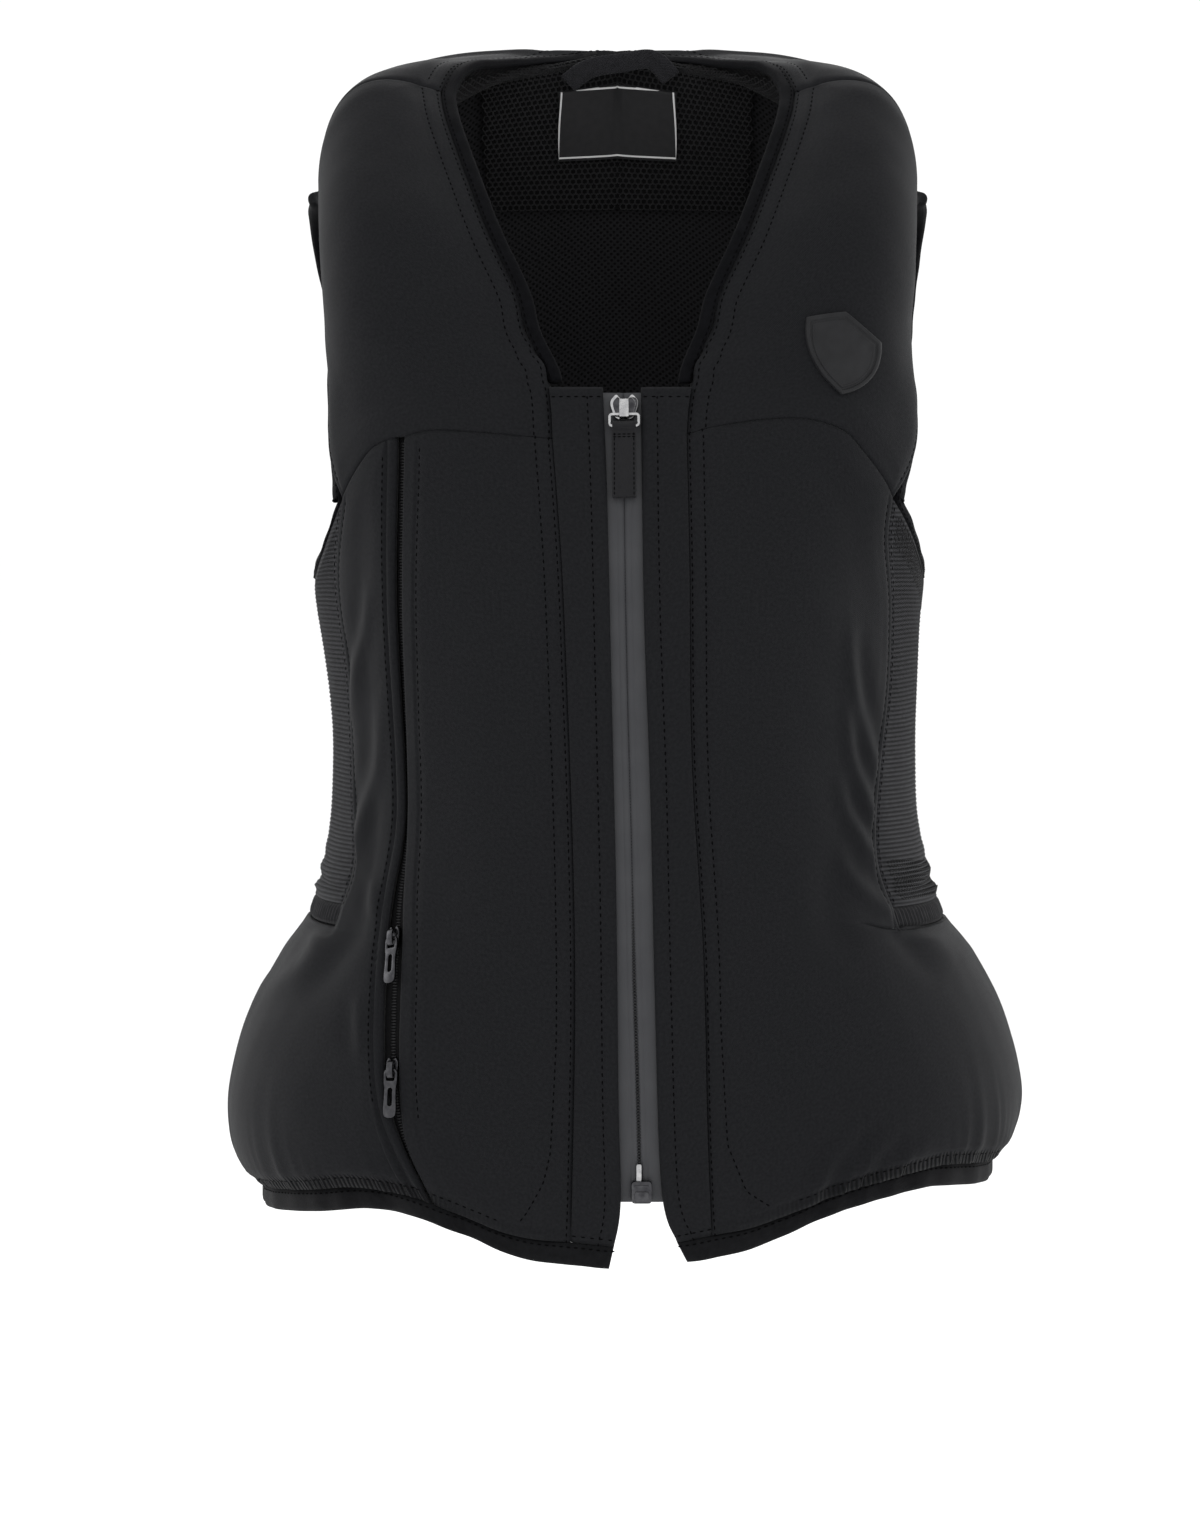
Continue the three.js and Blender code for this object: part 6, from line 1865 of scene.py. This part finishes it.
shield = np.vstack([
    quadratic((-0.5, 0.28), (-0.22, 0.42), (0, 0.5)), quadratic((0, 0.5), (0.22, 0.42), (0.5, 0.28)),
    quadratic((0.5, 0.28), (0.56, -0.22), (0, -0.5)), quadratic((0, -0.5), (-0.56, -0.22), (-0.5, 0.28))])
yokeTop = panels["yoke_left"]["outer"]
rowsY, colsY = yokeTop.shape[:2]
yokeQuads = wallFaces(rowsY, colsY)[0][:(rowsY - 1) * (colsY - 1)]
yokeTree = BVHTree.FromPolygons(yokeTop.reshape(-1, 3).tolist(), yokeQuads.tolist())
badgeVerts = []
for share, rise in badgeRings:
    flat = share * shield @ np.array([badge["across"], badge["up"]])
    where = findFront(left, badge["x"] + flat[:, 0], badge["z"] + flat[:, 1])
    start = shell(left["front"], where[:, 0], where[:, 1])
    toBody = inward(start)
    for p, way in zip(start, toBody):
        hit = yokeTree.ray_cast(Vector(p - way * 30), Vector(way))[0]
        at = np.array(hit) if hit is not None else p
        badgeVerts.append(at - way * (badge["lift"] + rise))
badgeVerts = np.array(badgeVerts)
sides = len(shield)
badgeFaces = []
for k in range(len(badgeRings) - 1):
    for m in range(sides):
        a, b = k * sides + m, k * sides + (m + 1) % sides
        badgeFaces.append((a, b, b + sides, a + sides))
badgeForm = bmesh.new()
made = [badgeForm.verts.new(v) for v in badgeVerts.tolist()]
for face in badgeFaces:
    badgeForm.faces.new([made[k] for k in face])
bmesh.ops.remove_doubles(badgeForm, verts=badgeForm.verts, dist=1e-4)
bmesh.ops.recalc_face_normals(badgeForm, faces=badgeForm.faces)
badgePiece = hardPiece("chest_badge_moulded", [badgeForm], Matrix.Identity(4), finishes["rubber"])
hand(badgePiece, "rubber", "chest_badge")
print("badge laid")

# open mesh lining inside the back of the neck, with its label and hanger loop
liningCut = {"low": 12.2, "high": 17.85, "reach": 0.23, "lift": 2.2, "thickness": 1.0, "inset": 0.004,
             "cell": 2.8, "wire": 0.27}


def innerAt(side, s, t, lift):
    p = shell(side["back"], s, t)
    return p + inward(p) * (padDepth(side["back"], s, t) + lift)[..., None]


def innerHalf(side, s, t, lift, thickness):
    return {"outer": innerAt(side, s, t, lift), "inner": innerAt(side, s, t, lift + thickness)}


liningJoined, labelRows = 28, 24  # rows of points that meet in the middle
liningT = np.concatenate([np.linspace(liningCut["low"], backForm["neck"], liningJoined),
                          np.linspace(backForm["neck"], liningCut["high"], 60)[1:]])
liningS = np.linspace(0, liningCut["reach"], 30)
tt, ss = np.meshgrid(liningT, liningS, indexing="ij")
ss = ss + liningCut["inset"] * np.clip(tt - backForm["neck"], 0, 1)
liningHalves = [innerHalf(side, ss, tt, liningCut["lift"], liningCut["thickness"]) for side in (right, left)]
meetInMiddle(liningHalves, liningJoined)
lining, _ = weldedPiece("neck_lining", liningHalves, liningJoined - 1, [finishes["mesh"], finishes["mesh"]])
hand(lining, "spacer_mesh", "neck_lining")

cellTree, given = geometryTree("meshCells", ["Cell", "Wire"])
hexagon = addNode(cellTree, "GeometryNodeCurvePrimitiveCircle", {"Resolution": 6, "Radius": given["Cell"]})
wire = addNode(cellTree, "GeometryNodeCurvePrimitiveCircle", {"Resolution": 4, "Radius": given["Wire"]})
cell = addNode(cellTree, "GeometryNodeCurveToMesh", {"Curve": hexagon.outputs["Curve"],
                                                     "Profile Curve": wire.outputs["Curve"]})
placedTree(cellTree, given, given["Geometry"], cell.outputs["Mesh"],
           turnedTo(cellTree, named(cellTree, "along"), named(cellTree, "outward")))


def cellPoints(grid, out, pitch):  # staggered points over a grid, by length along it
    rows = lengths(grid[:, grid.shape[1] // 2])
    picks = np.arange(pitch * 0.5, rows[-1] - pitch * 0.3, pitch * 0.866)
    points, outs, ways = [], [], []
    for n, at in enumerate(picks):
        f = np.interp(at, rows, np.arange(len(rows)))
        k = min(int(f), len(rows) - 2)
        line = grid[k] + (f - k) * (grid[k + 1] - grid[k])
        run = lengths(line)
        for d in np.arange(pitch * (0.5 if n % 2 else 1.0), run[-1] - pitch * 0.3, pitch):
            g = np.interp(d, run, np.arange(len(run)))
            i = min(int(g), len(run) - 2)
            points.append(line[i] + (g - i) * (line[i + 1] - line[i]))
            outs.append(out[k, i])
            ways.append(unit(line[i + 1] - line[i]))
    return np.array(points), np.array(outs), np.array(ways)


def cellPiece(name, patches, pitch, wireSize, slotName):
    points, outs, ways = (np.vstack(part) for part in zip(*patches))
    mesh = bpy.data.meshes.new(name)
    mesh.from_pydata((points * mm).tolist(), [], [])
    setAttribute(mesh, "outward", "FLOAT_VECTOR", outs)
    setAttribute(mesh, "along", "FLOAT_VECTOR", ways)
    obj = linked(name, mesh)
    grown(obj, cellTree, {"Cell": pitch / math.sqrt(3) * mm, "Wire": wireSize * mm,
                          "Finish": finishes["strand"]})
    return hand(ownUv(obj), slotName)


meshPatches = []
for half in liningHalves:
    facing = normalsOf(half["inner"])
    toWearer = inward(half["inner"])
    facing = facing * np.sign((facing * toWearer).sum(-1, keepdims=True))
    meshPatches.append(cellPoints(half["inner"] + facing * 0.3, facing, liningCut["cell"]))
cells = cellPiece("neck_mesh_cells", meshPatches, liningCut["cell"], liningCut["wire"], "spacer_mesh")
print("mesh lining", len(cells.data.polygons), "faces")

# open mesh corners of the stretch side that shows them
meshCorners = {"cell": 2.6, "wire": 0.24, "lift": 0.15,
               "parts": ((0.02, 0.13, 0.05, 0.45), (0.9, 0.985, 0.05, 0.5))}
stretchSide = panels["side_panel_left"]
cornerPatches = []
for shares in meshCorners["parts"]:
    counts = np.repeat(stretchSide["outer"].shape[:2], 2)
    steps = [round(f * (n - 1)) for f, n in zip(shares, counts)]
    part = np.s_[steps[0]:steps[1] + 1, steps[2]:steps[3] + 1]
    facing = stretchSide["normals"][part]
    cornerPatches.append(cellPoints(stretchSide["outer"][part] + facing * meshCorners["lift"], facing,
                                    meshCorners["cell"]))
corners = cellPiece("side_mesh_cells", cornerPatches, meshCorners["cell"], meshCorners["wire"], "spacer_mesh")
print("mesh corners", len(corners.data.polygons), "faces")

neckLabel = {"low": 12.88, "high": 13.72, "reach": 0.075, "lift": 4.8, "thickness": 0.8, "frame": 0.0016,
             "line": 0.0004}
labelT, labelS = np.meshgrid(np.linspace(neckLabel["low"], neckLabel["high"], labelRows),
                             np.linspace(0, neckLabel["reach"], 26), indexing="ij")
labelHalves = [innerHalf(side, labelS, labelT, neckLabel["lift"], neckLabel["thickness"])
               for side in (right, left)]
meetInMiddle(labelHalves, labelRows)
labelSize, labelArea = flatSize(labelHalves[0])
labelMat, labelTree, labelShader = newMaterial("wovenLabel", 0.6, 0.25)
labelWhere = addNode(labelTree, "ShaderNodeUVMap").outputs["UV"]
labelRamp = paint(labelTree, labelShader, labelWhere, (0.008, 0.008, 0.009), (0.012, 0.012, 0.013), 300.0)
emboss(labelTree, labelShader, threads(labelTree, labelWhere, 0.0005, 0.0005), 0.4, 0.0002)
labelPlace = addNode(labelTree, "ShaderNodeSeparateXYZ", {"Vector": labelWhere})
labelX, labelY = labelPlace.outputs["X"], labelPlace.outputs["Y"]


def frameLine(value, centre):
    gap = calc(labelTree, "ABSOLUTE", calc(labelTree, "SUBTRACT", value, centre))
    return calc(labelTree, "LESS_THAN", gap, neckLabel["line"])


edgeU = labelSize[0] - neckLabel["frame"]
inU = calc(labelTree, "LESS_THAN", labelX, edgeU + neckLabel["line"])
topLine = frameLine(labelY, labelSize[1] - neckLabel["frame"])
flatLines = calc(labelTree, "MAXIMUM", topLine, frameLine(labelY, neckLabel["frame"]))
inside = calc(labelTree, "MULTIPLY", flatLines, inU)
lines = calc(labelTree, "MAXIMUM", frameLine(labelX, edgeU), inside)
paintedShadeAndPrint(labelTree, labelShader, labelRamp, lines, (0.62, 0.62, 0.62))
label, _ = weldedPiece("neck_label", labelHalves, labelRows - 1, [labelMat, labelMat])
hand(label, "label", "neck_label")

hangerLoop = {"width": 10.0, "thickness": 1.5, "tip": math.pi / 6,
              "path": [(-25, 51.1, 46.5), (-15, 46.2, 53), (0, 44, 55.5), (14, 45.8, 57), (23, 51.1, 49)]}
loopPath = spline(hangerLoop["path"], np.linspace(0, 1, 60))
loopWay = unit(np.gradient(loopPath, axis=0))
wide = np.array([0, -math.sin(hangerLoop["tip"]), math.cos(hangerLoop["tip"])])
wide = unit(wide - loopWay * (loopWay @ wide)[:, None])
through = np.cross(loopWay, wide)
loopRings = loopPath[:, None] + wide[:, None] * (hangerLoop["width"] * foldedSection[None, :, 0, None]) \
    + through[:, None] * (hangerLoop["thickness"] * foldedSection[None, :, 1, None])
loop = hand(sweep("hanger_loop", loopRings, finishes["webbing"]), "webbing", "hanger_loop")
print("neck lining, label and loop set")

low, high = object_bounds()
